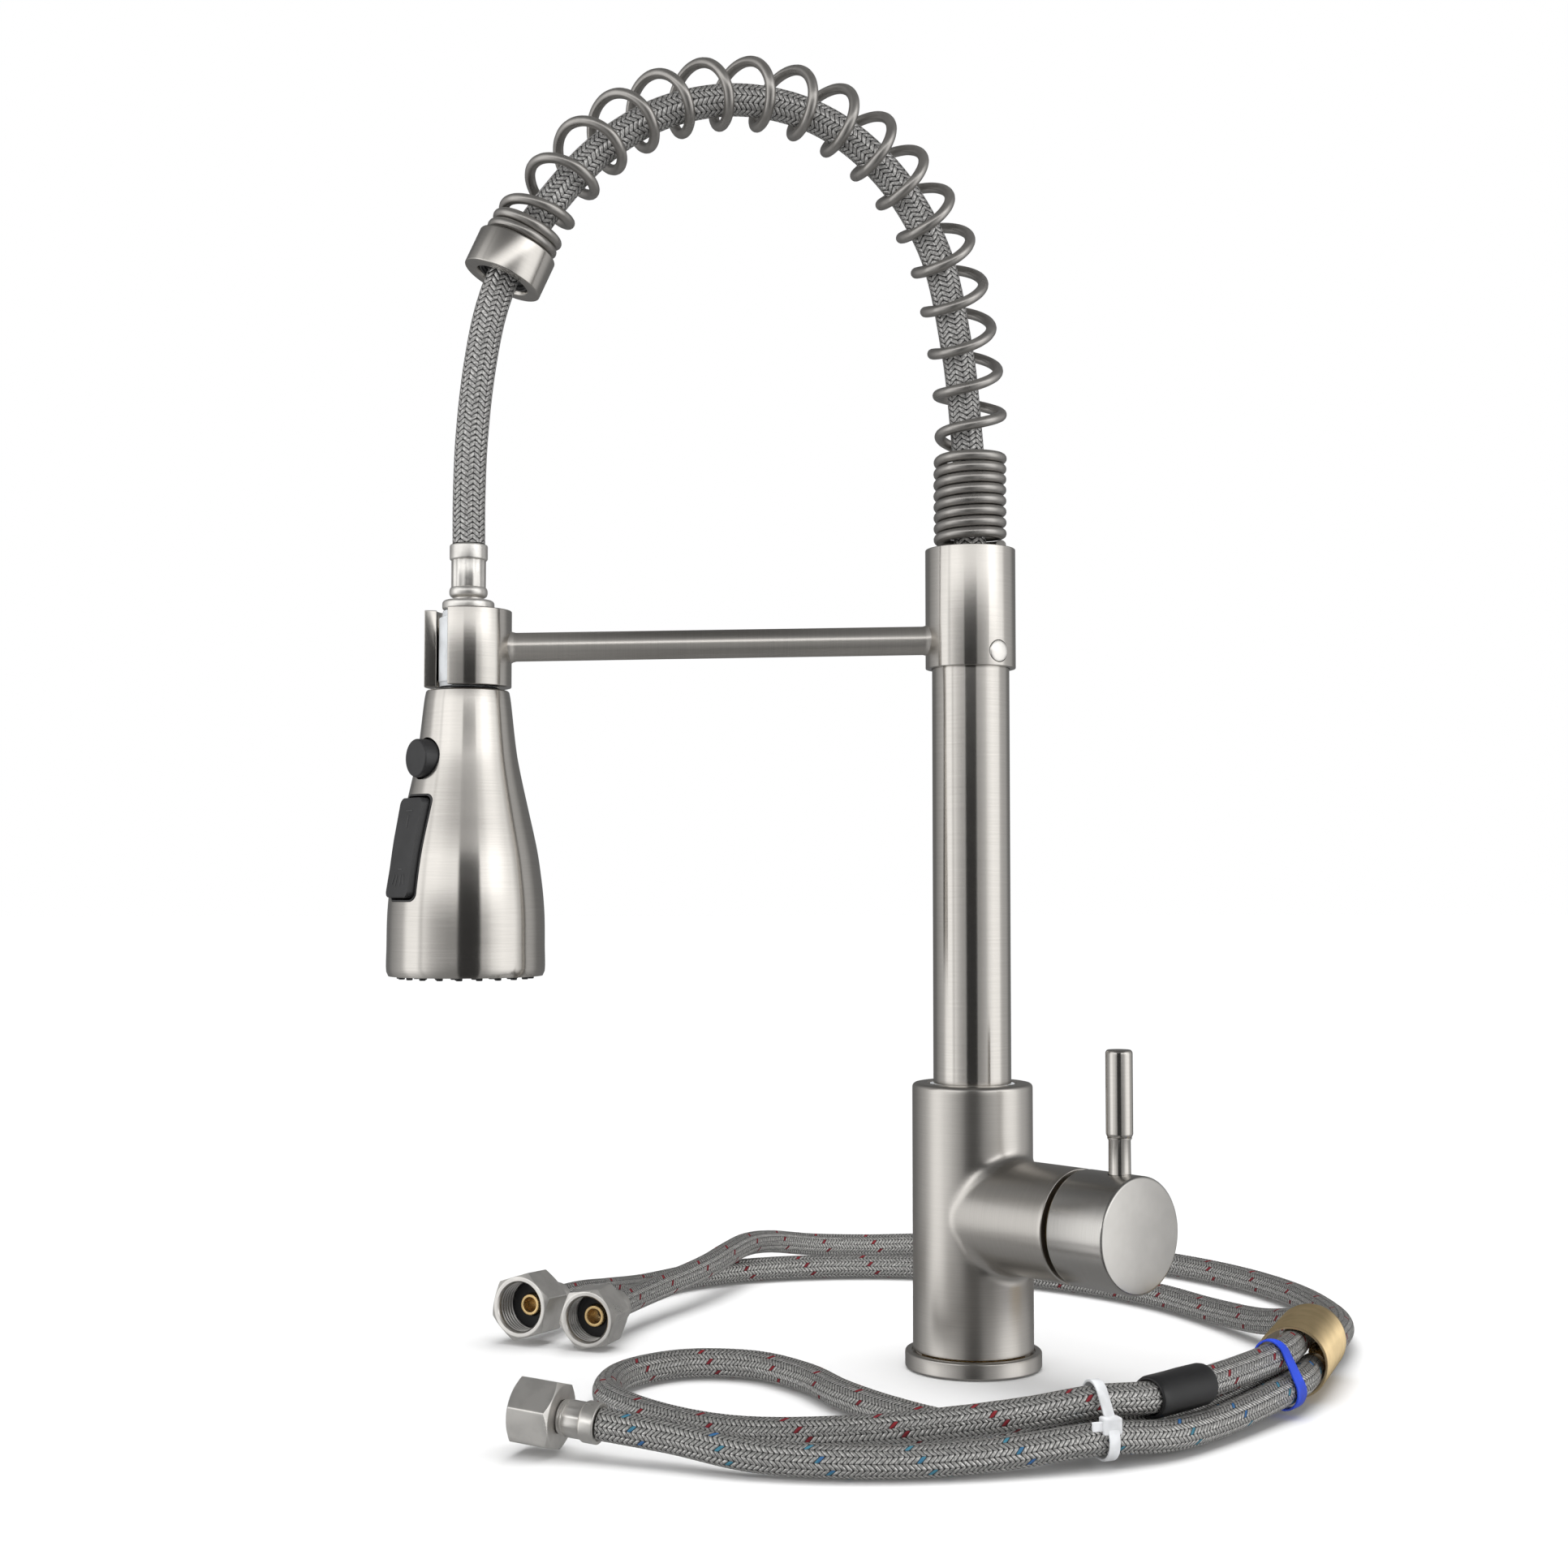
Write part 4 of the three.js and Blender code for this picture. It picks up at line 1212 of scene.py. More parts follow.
    @staticmethod
    def outline(centres: Sequence[Vector], radius: float) -> list[Vector]:
        """The taut line round three hoses, in the plane of a strap.

        Args:
            centres: The hoses' middles in that plane.
            radius: How far from them the line runs.

        Returns:
            The line's points, in order.
        """
        bm = bmesh.new()
        for centre in centres:
            ring = bmesh.ops.create_circle(bm, segments=40, radius=radius)["verts"]
            bmesh.ops.translate(bm, vec=(centre.x, centre.y, 0), verts=ring)
        middle = sum((Vector((c.x, c.y, 0)) for c in centres), Vector()) / len(centres)
        kept = [
            v.co.copy()
            for v in bm.verts
            if all((v.co.xy - Vector(c).xy).length >= radius - 1e-3 for c in centres)
        ]
        bm.free()
        kept.sort(key=lambda p: math.atan2(p.y - middle.y, p.x - middle.x))
        hull = list(kept)
        changed = True
        while changed:
            changed = False
            for i in range(len(hull)):
                a, b, c = hull[i - 1], hull[i], hull[(i + 1) % len(hull)]
                if (b - a).cross(c - b).z < 0:
                    hull.pop(i)
                    changed = True
                    break
        return hull

    def strap(
        self, centres: Sequence[Point], way: Point, width: float, thickness: float, clearance: float
    ) -> tuple[bmesh.types.BMesh, Matrix, float]:
        """A closed strap round the three hoses.

        Args:
            centres: The hoses' middles where it lies.
            way: The bundle's direction there.
            width: The strap's width.
            thickness: Its thickness.
            clearance: How far it stands off the hoses.

        Returns:
            The strap, its frame and how far its outside is from the first hose's middle.
        """
        place = aimed(centres[0], way)
        flat = [place.inverted() @ Vector(c) for c in centres]
        line = self.outline(flat, self.radius + clearance + thickness / 2)
        bm = bmesh.new()
        corners = [bm.verts.new((p.x, p.y, -width / 2)) for p in line]
        edges = [bm.edges.new(pair) for pair in zip(corners, corners[1:] + corners[:1])]
        drawn = bmesh.ops.extrude_edge_only(bm, edges=edges)
        tops = [v for v in drawn["geom"] if isinstance(v, bmesh.types.BMVert)]
        bmesh.ops.translate(bm, vec=(0, 0, width), verts=tops)
        bmesh.ops.recalc_face_normals(bm, faces=bm.faces)
        bmesh.ops.solidify(bm, geom=bm.faces[:], thickness=-thickness)
        bmesh.ops.recalc_face_normals(bm, faces=bm.faces)
        ease(bm, thickness * 0.3, 2, 50)
        return bm, place, self.radius + clearance + thickness

    def cable_tie(self) -> bpy.types.Object:
        """The nylon tie, its lock facing outward and its stub cut short.

        Returns:
            The tie's object.
        """
        centres = ((17.5, -136.4, 18.5), (17, -132.6, 8.7), (16, -144.3, 8.7))
        bm, place, outer = self.strap(centres, (0.97, 0.24, 0), 3.7, 0.9, 0.45)
        lock = slab([(-3.2, -2.7), (3.2, -2.7), (3.2, 2.7), (-3.2, 2.7)], 4.6, 0.7)
        quarter = Matrix.Rotation(math.pi / 2, 4, "Y")
        moved(lock, Matrix.Translation((-outer - 6.6, -5.0, 0)) @ quarter)
        stub = slab([(2.6, -1.5), (6.6, -1.5), (6.6, 1.5), (2.6, 1.5)], 1.2, 0.3)
        moved(stub, Matrix.Translation((-outer - 5.4, -5.0, 0)) @ quarter)
        return Piece.add(
            "cable_tie", moved(merged((bm, lock, stub)), place), self.finishes.nylon, "base", "white_nylon",
            ["zip_tie"],
        )

    def band(self) -> bpy.types.Object:
        """The blue band round the bundle near the shank's mouth.

        Returns:
            The band's object.
        """
        centres = ((91.5, -80.6, 18.8), (84.3, -80.2, 8.6), (92, -87.7, 8.6))
        bm, place, _ = self.strap(centres, (0.69, 0.72, 0), 6.4, 0.7, 0.35)
        front = min(v.co.x for v in bm.verts)
        back = max(v.co.x for v in bm.verts)
        for v in bm.verts:
            v.co.z *= 0.22 + 0.78 * max(1 - 1.7 * (v.co.x - front) / (back - front), 0) ** 0.7
        return Piece.add(
            "blue_tie_band", moved(bm, place), self.finishes.blue, "base", "blue_rubber", ["hose_band"]
        )

    def build(self) -> None:
        """Lays the hoses, then adds the shank and the ties."""
        first, second, third = Route(self.first), Route(self.second), Route(self.third)
        ties = [self.sleeve(), self.cable_tie(), self.band()]
        red, blue = self.finishes.red_braid, self.finishes.blue_braid
        self.hose("a", first, red, Fitting("a", 24, 16, 9.6, 12, first), ties)
        self.hose("b", second, red, Fitting("b", 22, 15, 8.7, 20, second), [])
        self.hose("c", third, blue, Fitting("c", 20.5, 15, 8.2, 14, third), [])
        self.shank()


@dataclass
class MixerBase:
    """The foot, the mixer body with its side branch, and the handle."""

    finishes: Finishes
    radius: float = 23.0
    bottom: float = 6.7
    top: float = 107.4
    branch_radius: float = 21.1
    branch_height: float = 58.9
    branch_angle: float = -53.35
    branch_end: float = 54.0
    pocket: float = 18.2
    fillet: float = 5.0
    cap_start: float = 56.6
    cap_end: float = 82.6
    lever_at: float = 73.2
    grip_end: float = 65.3

    def side(self) -> Matrix:
        """The branch's frame, +Z out along it."""
        angle = math.radians(self.branch_angle)
        return aimed((0, 0, self.branch_height), (math.cos(angle), math.sin(angle), 0))

    def foot(self) -> None:
        """The round foot with its raised inner lip."""
        bm = spun([
            (22.0, 0.2), (25.7, 0.2, 0.25), (26.0, 0.6, 0.25), (26.0, 5.9, 0.4), (25.3, 6.4, 0.4),
            (23.5, 6.4, 0.15), (23.3, 6.0, 0.1), (23.25, 5.7), (22.0, 5.7),
        ], 128, closed=True)
        Piece.add("foot_ring", bm, self.finishes.housing, "base", "steel", ["base_flange"])

    def blended(self, bm: bmesh.types.BMesh) -> None:
        """Swells the join between body and branch into a soft fillet.

        Args:
            bm: The united body and branch.
        """
        out = self.side().to_3x3() @ UP
        middle = Vector((0, 0, self.branch_height))

        def distance(p: Vector) -> tuple[float, float]:
            """How far a point is outside the rounded join, and how deep in the fillet it lies.

            Args:
                p: The point.

            Returns:
                The distance, and a share of the fillet from 0 at its edge to 1 at its middle.
            """
            flat = Vector((p.x, p.y, 0))
            along = (p - middle).dot(out)
            across = p - middle - out * along
            body, branch = flat.length - self.radius, across.length - self.branch_radius
            apart = 1 - flat.normalized().dot(across.normalized())
            reach = self.fillet * min(apart * 1.5, 1.0) if along > 0 else 0.0
            if reach < 0.05:
                return min(body, branch), 0.0
            share = max(reach - abs(body - branch), 0.0) / reach
            return min(body, branch) - share * share * reach / 4, share

        near = []
        for v in bm.verts:
            reached = (v.co - middle).dot(out)
            on_wall = self.bottom + 3 < v.co.z < self.top - 3 and reached < self.branch_end - 3
            if on_wall and distance(v.co)[1] > 0:
                near.append(v)
        for _ in range(4):
            bmesh.ops.smooth_vert(
                bm, verts=near, factor=0.5, use_axis_x=True, use_axis_y=True, use_axis_z=True
            )
            for v in near:
                for _ in range(3):
                    self._settle(v, distance)

    @staticmethod
    def _settle(v: bmesh.types.BMVert, distance: Callable[[Vector], tuple[float, float]]) -> None:
        """Moves a vertex along the slope of a distance to where it is nought.

        Args:
            v: The vertex.
            distance: Gives the distance of a point, and a share that isn't used here.
        """
        tiny = 0.01
        here = distance(v.co)[0]
        slope = Vector([
            (distance(v.co + Vector(axis) * tiny)[0] - here) / tiny
            for axis in ((1, 0, 0), (0, 1, 0), (0, 0, 1))
        ])
        if slope.length_squared > 1e-6:
            v.co -= slope * (here / slope.length_squared)

    def body(self) -> None:
        """The body and its branch, bored for the column and the cartridge."""
        trunk = spun([
            (0, self.bottom), (self.radius, self.bottom, 0.3), (self.radius, self.top, 1.6),
            (0, self.top),
        ], 144, longest=1.6)
        branch = spun([
            (0, 0), (self.branch_radius, 0), (self.branch_radius, self.branch_end, 0.5),
            (0, self.branch_end),
        ], 128, longest=1.5)
        whole = combined(trunk, moved(branch, self.side()), Cut.ADD)
        self.blended(whole)
        pocket = spun([(0, 25.4), (self.pocket, 25.4), (self.pocket, 60), (0, 60)], 96)
        whole = combined(whole, moved(pocket, self.side()), Cut.REMOVE)
        bore = spun([
            (0, 80), (13.9, 80), (13.9, 81.4), (16.0, 81.4), (16.0, self.top - 1.2),
            (17.0, self.top - 0.6),
            (17.4, self.top + 1), (0, self.top + 1),
        ], 96)
        whole = combined(whole, bore, Cut.REMOVE)
        Piece.add(
            "mixer_housing", whole, self.finishes.housing, "base", "steel", ["mixer_body"], sharp=28
        )

    def inside(self) -> None:
        """What shows in the gap behind the cap and under the column."""
        side = self.side()
        cartridge = spun([
            (0, 26), (17.4, 26, 0.5), (17.4, 46, 0.5), (15.3, 46.2), (15.3, 49.5, 0.4), (8, 49.5, 0.4),
            (8, 44),
            (0, 44),
        ], 72)
        Piece.add(
            "cartridge_case", moved(cartridge, side),
            self.finishes.grey, "base", "grey_plastic", ["cartridge"]
        )
        nut = spun([
            (15.8, 46.4), (17.8, 46.4, 0.3), (17.8, 53.5, 0.6), (10.6, 53.5, 0.6), (10.6, 49.9),
            (15.8, 49.9),
        ], 72, closed=True)
        Piece.add(
            "cartridge_ring_nut", moved(nut, side),
            self.finishes.brass, "base", "brass", ["cartridge_nut"]
        )
        spindle = spun([(0, 44.4), (6.4, 44.4, 0.4), (6.4, 50.5, 0.6), (0, 50.5)], 48)
        Piece.add(
            "spindle", moved(spindle, side),
            self.finishes.brass, "temperature", "brass", ["cartridge_spindle"]
        )
        seal = spun([
            (14.95, 105.2), (16.1, 105.2, 0.2), (16.1, 106.4, 0.2), (14.95, 106.4),
        ], 96, closed=True)
        Piece.add("column_foot_seal", seal, self.finishes.rubber, "base", "rubber", ["column_seal"])

    def handle(self) -> None:
        """The cap, its screw, and the two-step lever."""
        side = self.side()
        r = self.branch_radius
        cap = spun([
            (0, self.cap_start + 10), (14, self.cap_start + 10), (14, self.cap_start),
            (r - 0.1, self.cap_start, 0.5),
            (r, self.cap_start + 1.0), (r, self.cap_end, 1.1), (0, self.cap_end),
        ], 144, rounding=5)
        socket = spun([(0, 10), (4.3, 10), (4.3, 30), (0, 30)], 40)
        upright = Matrix.Translation((0, 0, self.lever_at)) @ Matrix.Rotation(-math.pi / 2, 4, "X")
        cap = combined(cap, moved(socket, upright), Cut.REMOVE)
        steel = self.finishes
        Piece.add(
            "handle_cap_shell", moved(cap, side),
            steel.branch_steel, "handle", "steel", ["handle_cap"], sharp=28
        )
        screw = spun([(0, 60.8), (2.3, 60.8, 0.3), (2.3, 66.2), (0, 66.2)], 24)
        Piece.add("cap_screw", moved(screw, side), steel.nickel, "handle", "nickel", ["handle_screw"])
        stands = side @ upright
        pin = spun([
            (0, 11), (3.9, 11), (3.95, 20.7), (4.05, 21.0, 0.2), (4.0, 22.0), (3.95, 33.0), (4.4, 33.7),
            (4.4, 34.0),
            (0, 34.0),
        ], 64)
        Piece.add("lever_stem", moved(pin, stands), steel.steel, "handle", "steel", ["lever_pin"])
        end = self.grip_end
        grip = spun([
            (0, 34.05), (4.3, 34.05, 0.2), (4.85, 35.2, 0.3), (4.85, end - 0.9, 0.5),
            (4.25, end - 0.15, 0.3),
            (0, end),
        ], 72)
        Piece.add("lever_handle", moved(grip, stands), steel.steel, "handle", "steel", ["lever_grip"])

    def build(self) -> None:
        """Makes the whole mixer."""
        self.foot()
        self.body()
        self.inside()
        self.handle()
        dress("base_gasket", self.finishes.rubber)
        dress("base_adapter", self.finishes.brass)
        dress("swivel_bush", self.finishes.grey)
        dress("swivel_oring", self.finishes.rubber)


@dataclass
class Column:
    """The swivelling column, its bracket collar and the docking arm."""

    finishes: Finishes
    radius: float = 14.9
    bottom: float = 105.0
    collar_radius: float = 17.4
    collar_bottom: float = 266.4
    collar_top: float = 312.7
    plug_height: float = 272.0
    plug_angle: float = -60.5
    arm_radius: float = 5.5
    dock_x: float = -193.0
    dock_radius: float = 16.5
    dock_bore: float = 11.9
    dock_bottom: float = 258.0
    dock_top: float = 287.2
    slot_angle: float = 217.3
    slot_half: float = 29.0

    def tube(self) -> None:
        """The column and the spigot that turns in the body."""
        bm = spun([
            (9.6, 82.2), (13.3, 82.2, 0.5), (13.3, self.bottom - 0.6), (14.5, self.bottom - 0.3),
            (self.radius, self.bottom), (self.radius, 306.9), (12.4, 306.9), (12.4, 113), (9.6, 111),
        ], 128, closed=True)
        Piece.add("column_pipe", bm, self.finishes.steel, "spout", "steel", ["column_tube"])

    def collar(self) -> None:
        """The bracket collar, drilled for its plug."""
        r = self.collar_radius
        bm = spun([
            (15.15, self.collar_bottom), (r, self.collar_bottom, 0.35), (r, self.collar_top, 0.35),
            (15.15, self.collar_top),
        ], 144, closed=True)
        aim_plug = Matrix.Rotation(math.radians(self.plug_angle), 4, "Z")
        lie = Matrix.Translation((0, 0, self.plug_height)) @ aim_plug @ Matrix.Rotation(math.pi / 2, 4, "Y")
        drill = spun([(0, 12), (4.35, 12), (4.35, 24), (0, 24)], 56)
        bm = combined(bm, moved(drill, lie), Cut.REMOVE)
        Piece.add("collar_shell", bm, self.finishes.steel, "spout", "steel", ["bracket_collar"], sharp=28)
        plug = spun([(0, 15.6), (4.2, 15.6), (4.2, 17.35, 0.35), (3.0, 17.65), (0, 17.75)], 48)
        Piece.add(
            "round_plug", moved(plug, lie), self.finishes.nickel, "spout", "nickel", ["collar_plug"]
        )

    def arm(self) -> None:
        """The arm, let into the collar and the dock with a small weld bead at each end."""
        start, end = Vector((-15.4, 0, 277.35)), Vector((self.dock_x + 15.2, 0, 273.5))
        way = end - start
        run = way.length
        r = self.arm_radius
        bm = spun([
            (0, 0), (r + 1.1, 0), (r + 1.0, 0.9), (r + 0.35, 1.9), (r, 3.2), (r, run - 3.0),
            (r + 0.3, run - 1.8),
            (r + 0.7, run - 1.1), (r + 0.8, run), (0, run),
        ], 72)
        matrix = Matrix.Translation(start) @ UP.rotation_difference(way).to_matrix().to_4x4()
        bm = moved(bm, matrix)
        for radius, middle in ((self.collar_radius - 0.25, 0), (self.dock_radius - 0.25, self.dock_x)):
            space = spun([(0, 240), (radius, 240), (radius, 320), (0, 320)], 128)
            bm = combined(bm, moved(space, Matrix.Translation((middle, 0, 0))), Cut.REMOVE)
        Piece.add("docking_arm", bm, self.finishes.arm_steel, "spout", "steel", ["support_arm"], sharp=30)

    def dock(self) -> None:
        """The open ring that holds the spray head, with eased jaws."""
        gap = 2 * self.slot_half
        steps = 72
        bm = wire([
            (self.dock_bore, self.dock_bottom, 0.25), (self.dock_radius, self.dock_bottom, 0.35),
            (self.dock_radius, self.dock_top, 0.35), (self.dock_bore, self.dock_top, 0.25),
        ], True, 1e3, 3)
        start = Matrix.Rotation(math.radians(self.slot_half), 4, "Z")
        moved(bm, start)
        section = bm.verts[:] + bm.edges[:]
        bmesh.ops.spin(
            bm, geom=section, cent=(0, 0, 0), axis=(0, 0, 1), dvec=(0, 0, 0),
            angle=math.radians(360 - gap), steps=steps, use_merge=False, use_normal_flip=False,
            use_duplicate=False,
        )
        ends = [e for e in bm.edges if len(e.link_faces) == 1]
        bmesh.ops.holes_fill(bm, edges=ends)
        bmesh.ops.recalc_face_normals(bm, faces=bm.faces)
        jaws = [
            e for e in bm.edges
            if len(e.link_faces) == 2 and any(len(f.verts) > 6 for f in e.link_faces)
        ]
        bmesh.ops.bevel(
            bm, geom=jaws, offset=0.3, offset_type="OFFSET", segments=3, profile=0.5, affect="EDGES",
            clamp_overlap=True, material=-1,
        )
        turn = Matrix.Rotation(math.radians(self.slot_angle), 4, "Z")
        place = Matrix.Translation((self.dock_x, 0, 0)) @ turn
        Piece.add(
            "dock_cradle", moved(bm, place), self.finishes.head_steel, "spout", "steel", ["dock_ring"]
        )

    def build(self) -> None:
        """Makes the column, the collar, the arm and the dock."""
        self.tube()
        self.collar()
        self.arm()
        self.dock()


@dataclass
class SpringArch:
    """The spring, the hose in it and the cap at its end."""

    finishes: Finishes
    radius: float = 12.1
    wire: float = 2.05
    tight_pitch: float = 4.25
    tight_turns: int = 8
    open_turns: int = 17
    end_turns: int = 2
    lean: float = 6.0
    hose_radius: float = 6.2
    start_height: float = 312.7
    cap_radius: float = 15.5
    cap_length: float = 15.0
    hose_route: Sequence[Point] = (
        (0, 0, 298), (0, 0, 318), (0, 0, 338), (-1.6, 0, 362), (-4.8, 0, 391), (-14, 0, 431),
        (-33, 0, 461.5),
        (-58.5, 0, 481), (-88.5, 0, 488), (-118.5, 0, 482.5), (-143.5, 0, 467), (-162.5, -1, 445.5),
        (-174.6, -2.2, 427.6),
    )
    spring_route: Sequence[Point] = (
        (0, 0, 298), (0, 0, 318), (0, 0, 342), (0.4, 0, 363), (-2.4, 0, 391.5), (-11.6, 0, 432),
        (-31, 0, 463.2), (-57.3, 0, 483.4), (-88.5, 0, 490.6), (-119.5, 0, 484.9), (-145, -0.5, 469),
        (-163.8, -1.5, 446.6), (-174.8, -2.2, 428), (-181.1, -3.2, 414.2),
    )
    drop_route: Sequence[Point] = (
        (-178.2, -2.7, 420.6), (-181.3, -3.2, 413.6), (-185.6, -3, 400), (-189.6, -2, 378),
        (-192.2, -1, 352),
        (-193, -0.2, 330), (-193, 0, 313),
    )
    arch: Route = field(init=False)

    def __post_init__(self) -> None:
        """Works out the spring's axis."""
        self.arch = Route(self.spring_route)

    def coil(self, per_turn: int = 56) -> list[Vector]:
        """The wire's centreline.

        Args:
            per_turn: Points in each turn.

        Returns:
            Its points, in millimetres.
        """
        first = self.start_height + 0.1 + self.wire - self.spring_route[0][2]
        last = self.arch.length - self.cap_length - self.wire - 0.1
        turns = self.tight_turns + self.open_turns + self.end_turns
        tight = self.tight_pitch * (self.tight_turns + self.end_turns)
        open_pitch = (last - first - tight) / self.open_turns
        points = []
        for i in range(turns * per_turn + 1):
            turn = i / per_turn
            opened = min(max(turn - self.tight_turns, 0), self.open_turns)
            travel = first + self.tight_pitch * (turn - opened) + open_pitch * opened
            way = self.arch.heading(travel)
            outward = Vector((0, 1, 0)).cross(way).normalized()
            sideways = way.cross(outward)
            angle = 2 * math.pi * turn
            round_axis = outward * math.cos(angle) + sideways * math.sin(angle)
            looseness = min(opened / 2.5, (self.open_turns - opened) / 2.5, 1.0)
            leant = way * (self.lean * looseness * math.sin(angle))
            points.append(self.arch.at(travel) + round_axis * self.radius + leant)
        return points

    def hose(self, route: Sequence[Point]) -> bpy.types.Mesh:
        """A length of braided spray hose."""
        return piped(Route(route).evenly(1.5), self.hose_radius, 40)

    def cap(self) -> None:
        """The end cap and the liner that the hose leaves through."""
        top = self.arch.at(self.arch.length - self.cap_length)
        way = -self.arch.heading(self.arch.length - self.cap_length / 2)
        place = Matrix.Translation(top) @ UP.rotation_difference(way).to_matrix().to_4x4()
        low, r = -self.cap_length, self.cap_radius
        shell = spun([
            (10.3, low + 0.6), (10.7, low, 0.2), (r, low, 0.45), (r, 0, 0.7), (8.2, 0), (8.2, -1.5),
            (10.3, -1.5),
        ], 128, closed=True)
        Piece.add(
            "spring_cap", moved(shell, place),
            self.finishes.cap_steel, "spout", "steel", ["spring_end_cap"]
        )
        liner = spun([
            (7.5, low + 4), (8.3, low + 3.2, 0.2), (8.4, low + 2.2), (9.0, low + 2.1, 0.15),
            (9.1, low + 1.3, 0.2),
            (9.9, low + 1.2, 0.2), (9.9, -1.9), (7.5, -1.9),
        ], 96, closed=True)
        Piece.add(
            "hose_liner", moved(liner, place), self.finishes.black, "spout", "rubber", ["cap_liner"]
        )

    def build(self) -> None:
        """Makes the spring, the two lengths of hose and the cap."""
        wire_mesh = piped(self.coil(), self.wire, 16)
        Piece.add(
            "coil_spring", wire_mesh, self.finishes.wire, "spout", "spring_steel", ["arch_spring"],
            sharp=60
        )
        braid = self.finishes.spray_braid
        Piece.add(
            "spray_hose_arch", self.hose(self.hose_route),
            braid, "spout", "braid", ["arch_hose"], sharp=60
        )
        drop = Piece.add(
            "spray_hose_drop", self.hose(self.drop_route), braid, None, "braid", ["drop_hose"], sharp=60
        )
        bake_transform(drop)
        self.cap()
        dress("spring_seat", self.finishes.nickel)


@dataclass
class SprayHead:
    """The pull-down spray head with its neck, button, rocker and outlet."""

    finishes: Finishes
    centre: tuple[float, float, float] = (-193.0, 0.0, 0.0)
    facing: float = 217.3
    wall: float = 1.9
    outline: Sequence[tuple[float, float]] = (
        (28.9, 148.8), (29.6, 150.2), (29.65, 160), (29.5, 171), (28.9, 179.6), (28, 187), (26.9, 194.4),
        (25.4, 201.8), (23.7, 209.2), (20.4, 223.9), (18.9, 231.5), (17.9, 238.7), (16.2, 253.5),
        (15.7, 256.1),
    )
    top: float = 256.7
    neck_radius: float = 11.0
    neck_bottom: float = 258.0
    neck_top: float = 287.3
    button_height: float = 230.3
    button_radius: float = 7.2
    button_face: float = 23.0
    rocker_top: float = 215.8
    rocker_bottom: float = 177.8
    rocker_width: float = 15.6
    face_heights: Sequence[float] = (215.8, 211.0, 205.0, 199.5, 194.5, 189.0, 183.5, 178.4)
    face_out: Sequence[float] = (24.2, 25.1, 26.3, 27.4, 28.2, 29.0, 30.0, 30.9)
    skin: Route = field(init=False)

    def __post_init__(self) -> None:
        """Works out the head's smooth outline."""
        self.skin = Route([(r, 0, z) for r, z in self.outline])

    def place(self) -> Matrix:
        """The head's frame: +Z up its axis, +X out through the button."""
        turn = Matrix.Rotation(math.radians(self.facing), 4, "Z")
        return Matrix.Translation(self.centre) @ turn

    def radius(self, height: float) -> float:
        """The outside radius at a height."""
        heights = [p.z for p in self.skin.samples]
        return float(np.interp(height, heights, [p.x for p in self.skin.samples]))

    def add(
        self, name: str, bm: bmesh.types.BMesh, look: bpy.types.Material, body: str, slot: str, node: str,
        sharp: float = 38,
    ) -> None:
        """Adds a piece of the head, made in the head's own frame.

        Args:
            name: The piece's name.
            bm: Its shape.
            look: Its finish.
            body: The body that it rides on.
            slot: The material slot that it stands in.
            node: The node that it replaces.
            sharp: The angle past which an edge stays sharp.
        """
        Piece.add(name, moved(bm, self.place()), look, body, slot, [node], sharp)

    def window(self, margin: float, near: float, far: float, corner: float) -> bmesh.types.BMesh:
        """A rounded upright block through the rocker's opening.

        Args:
            margin: How far it stands out past the rocker's outline.
            near: Where it starts, along the way that the head faces.
            far: Where it ends.
            corner: Its corner radius.

        Returns:
            The block.
        """
        half = self.rocker_width / 2 + margin
        low, high = self.rocker_bottom - margin, self.rocker_top + margin
        bm = slab([(low, -half), (high, -half), (high, half), (low, half)], far - near)
        upright = [e for e in bm.edges if abs(e.verts[0].co.z - e.verts[1].co.z) > 1]
        bmesh.ops.bevel(
            bm, geom=upright, offset=corner, offset_type="OFFSET", segments=8, profile=0.5, affect="EDGES",
            clamp_overlap=True, material=-1,
        )
        turned_up = Matrix(((0, 0, 1, near), (0, 1, 0, 0), (1, 0, 0, 0), (0, 0, 0, 1)))
        moved(bm, turned_up)
        bmesh.ops.recalc_face_normals(bm, faces=bm.faces)
        return bm

    @staticmethod
    def rod(radius: float, near: float, far: float, height: float) -> bmesh.types.BMesh:
        """A round bar along the way that the head faces."""
        bm = spun([(0, near), (radius, near), (radius, far), (0, far)], 64)
        return moved(bm, Matrix.Translation((0, 0, height)) @ Matrix.Rotation(math.pi / 2, 4, "Y"))

    def shell(self) -> None:
        """The shell, with its button hole and its rocker window."""
        outer = [(p.x, p.z) for p in self.skin.evenly(1.9)]
        inner = [(r - self.wall, z) for r, z in reversed(outer)]
        profile: list[Corner] = [
            (self.outline[0][0] - 1.6, 149.0, 0.2), *outer, (15.2, self.top, 0.3), (9.0, self.top),
            (9.0, self.top - 1.6), *inner[1:-1], (self.outline[0][0] - 1.6, 151.0),
        ]
        bm = spun(profile, 160, closed=True)
        bm = combined(bm, self.window(1.1, 12.5, 40, 3.2), Cut.REMOVE)
        bm = combined(bm, self.rod(self.button_radius + 0.75, 10, 40, self.button_height), Cut.REMOVE)
        self.add("head_shell", bm, self.finishes.head_steel, "spray_head", "steel", "spray_shell", 28)

    def lining(self) -> None:
        """The black lining of the rocker's window and the button's well."""
        frame_block = combined(
            self.window(0.95, 15.5, 33, 3.1), self.window(0.4, 12, 40, 2.8), Cut.REMOVE
        )
        limit = spun([(0, 150), *[(p.x + 0.12, p.z) for p in self.skin.evenly(3)], (0, 256)], 128)
        frame_block = combined(frame_block, limit, Cut.KEEP)
        self.add(
            "rocker_surround", frame_block, self.finishes.black, "spray_head", "black_plastic",
            "rocker_bezel"
        )
        dress("spray_core", self.finishes.black)

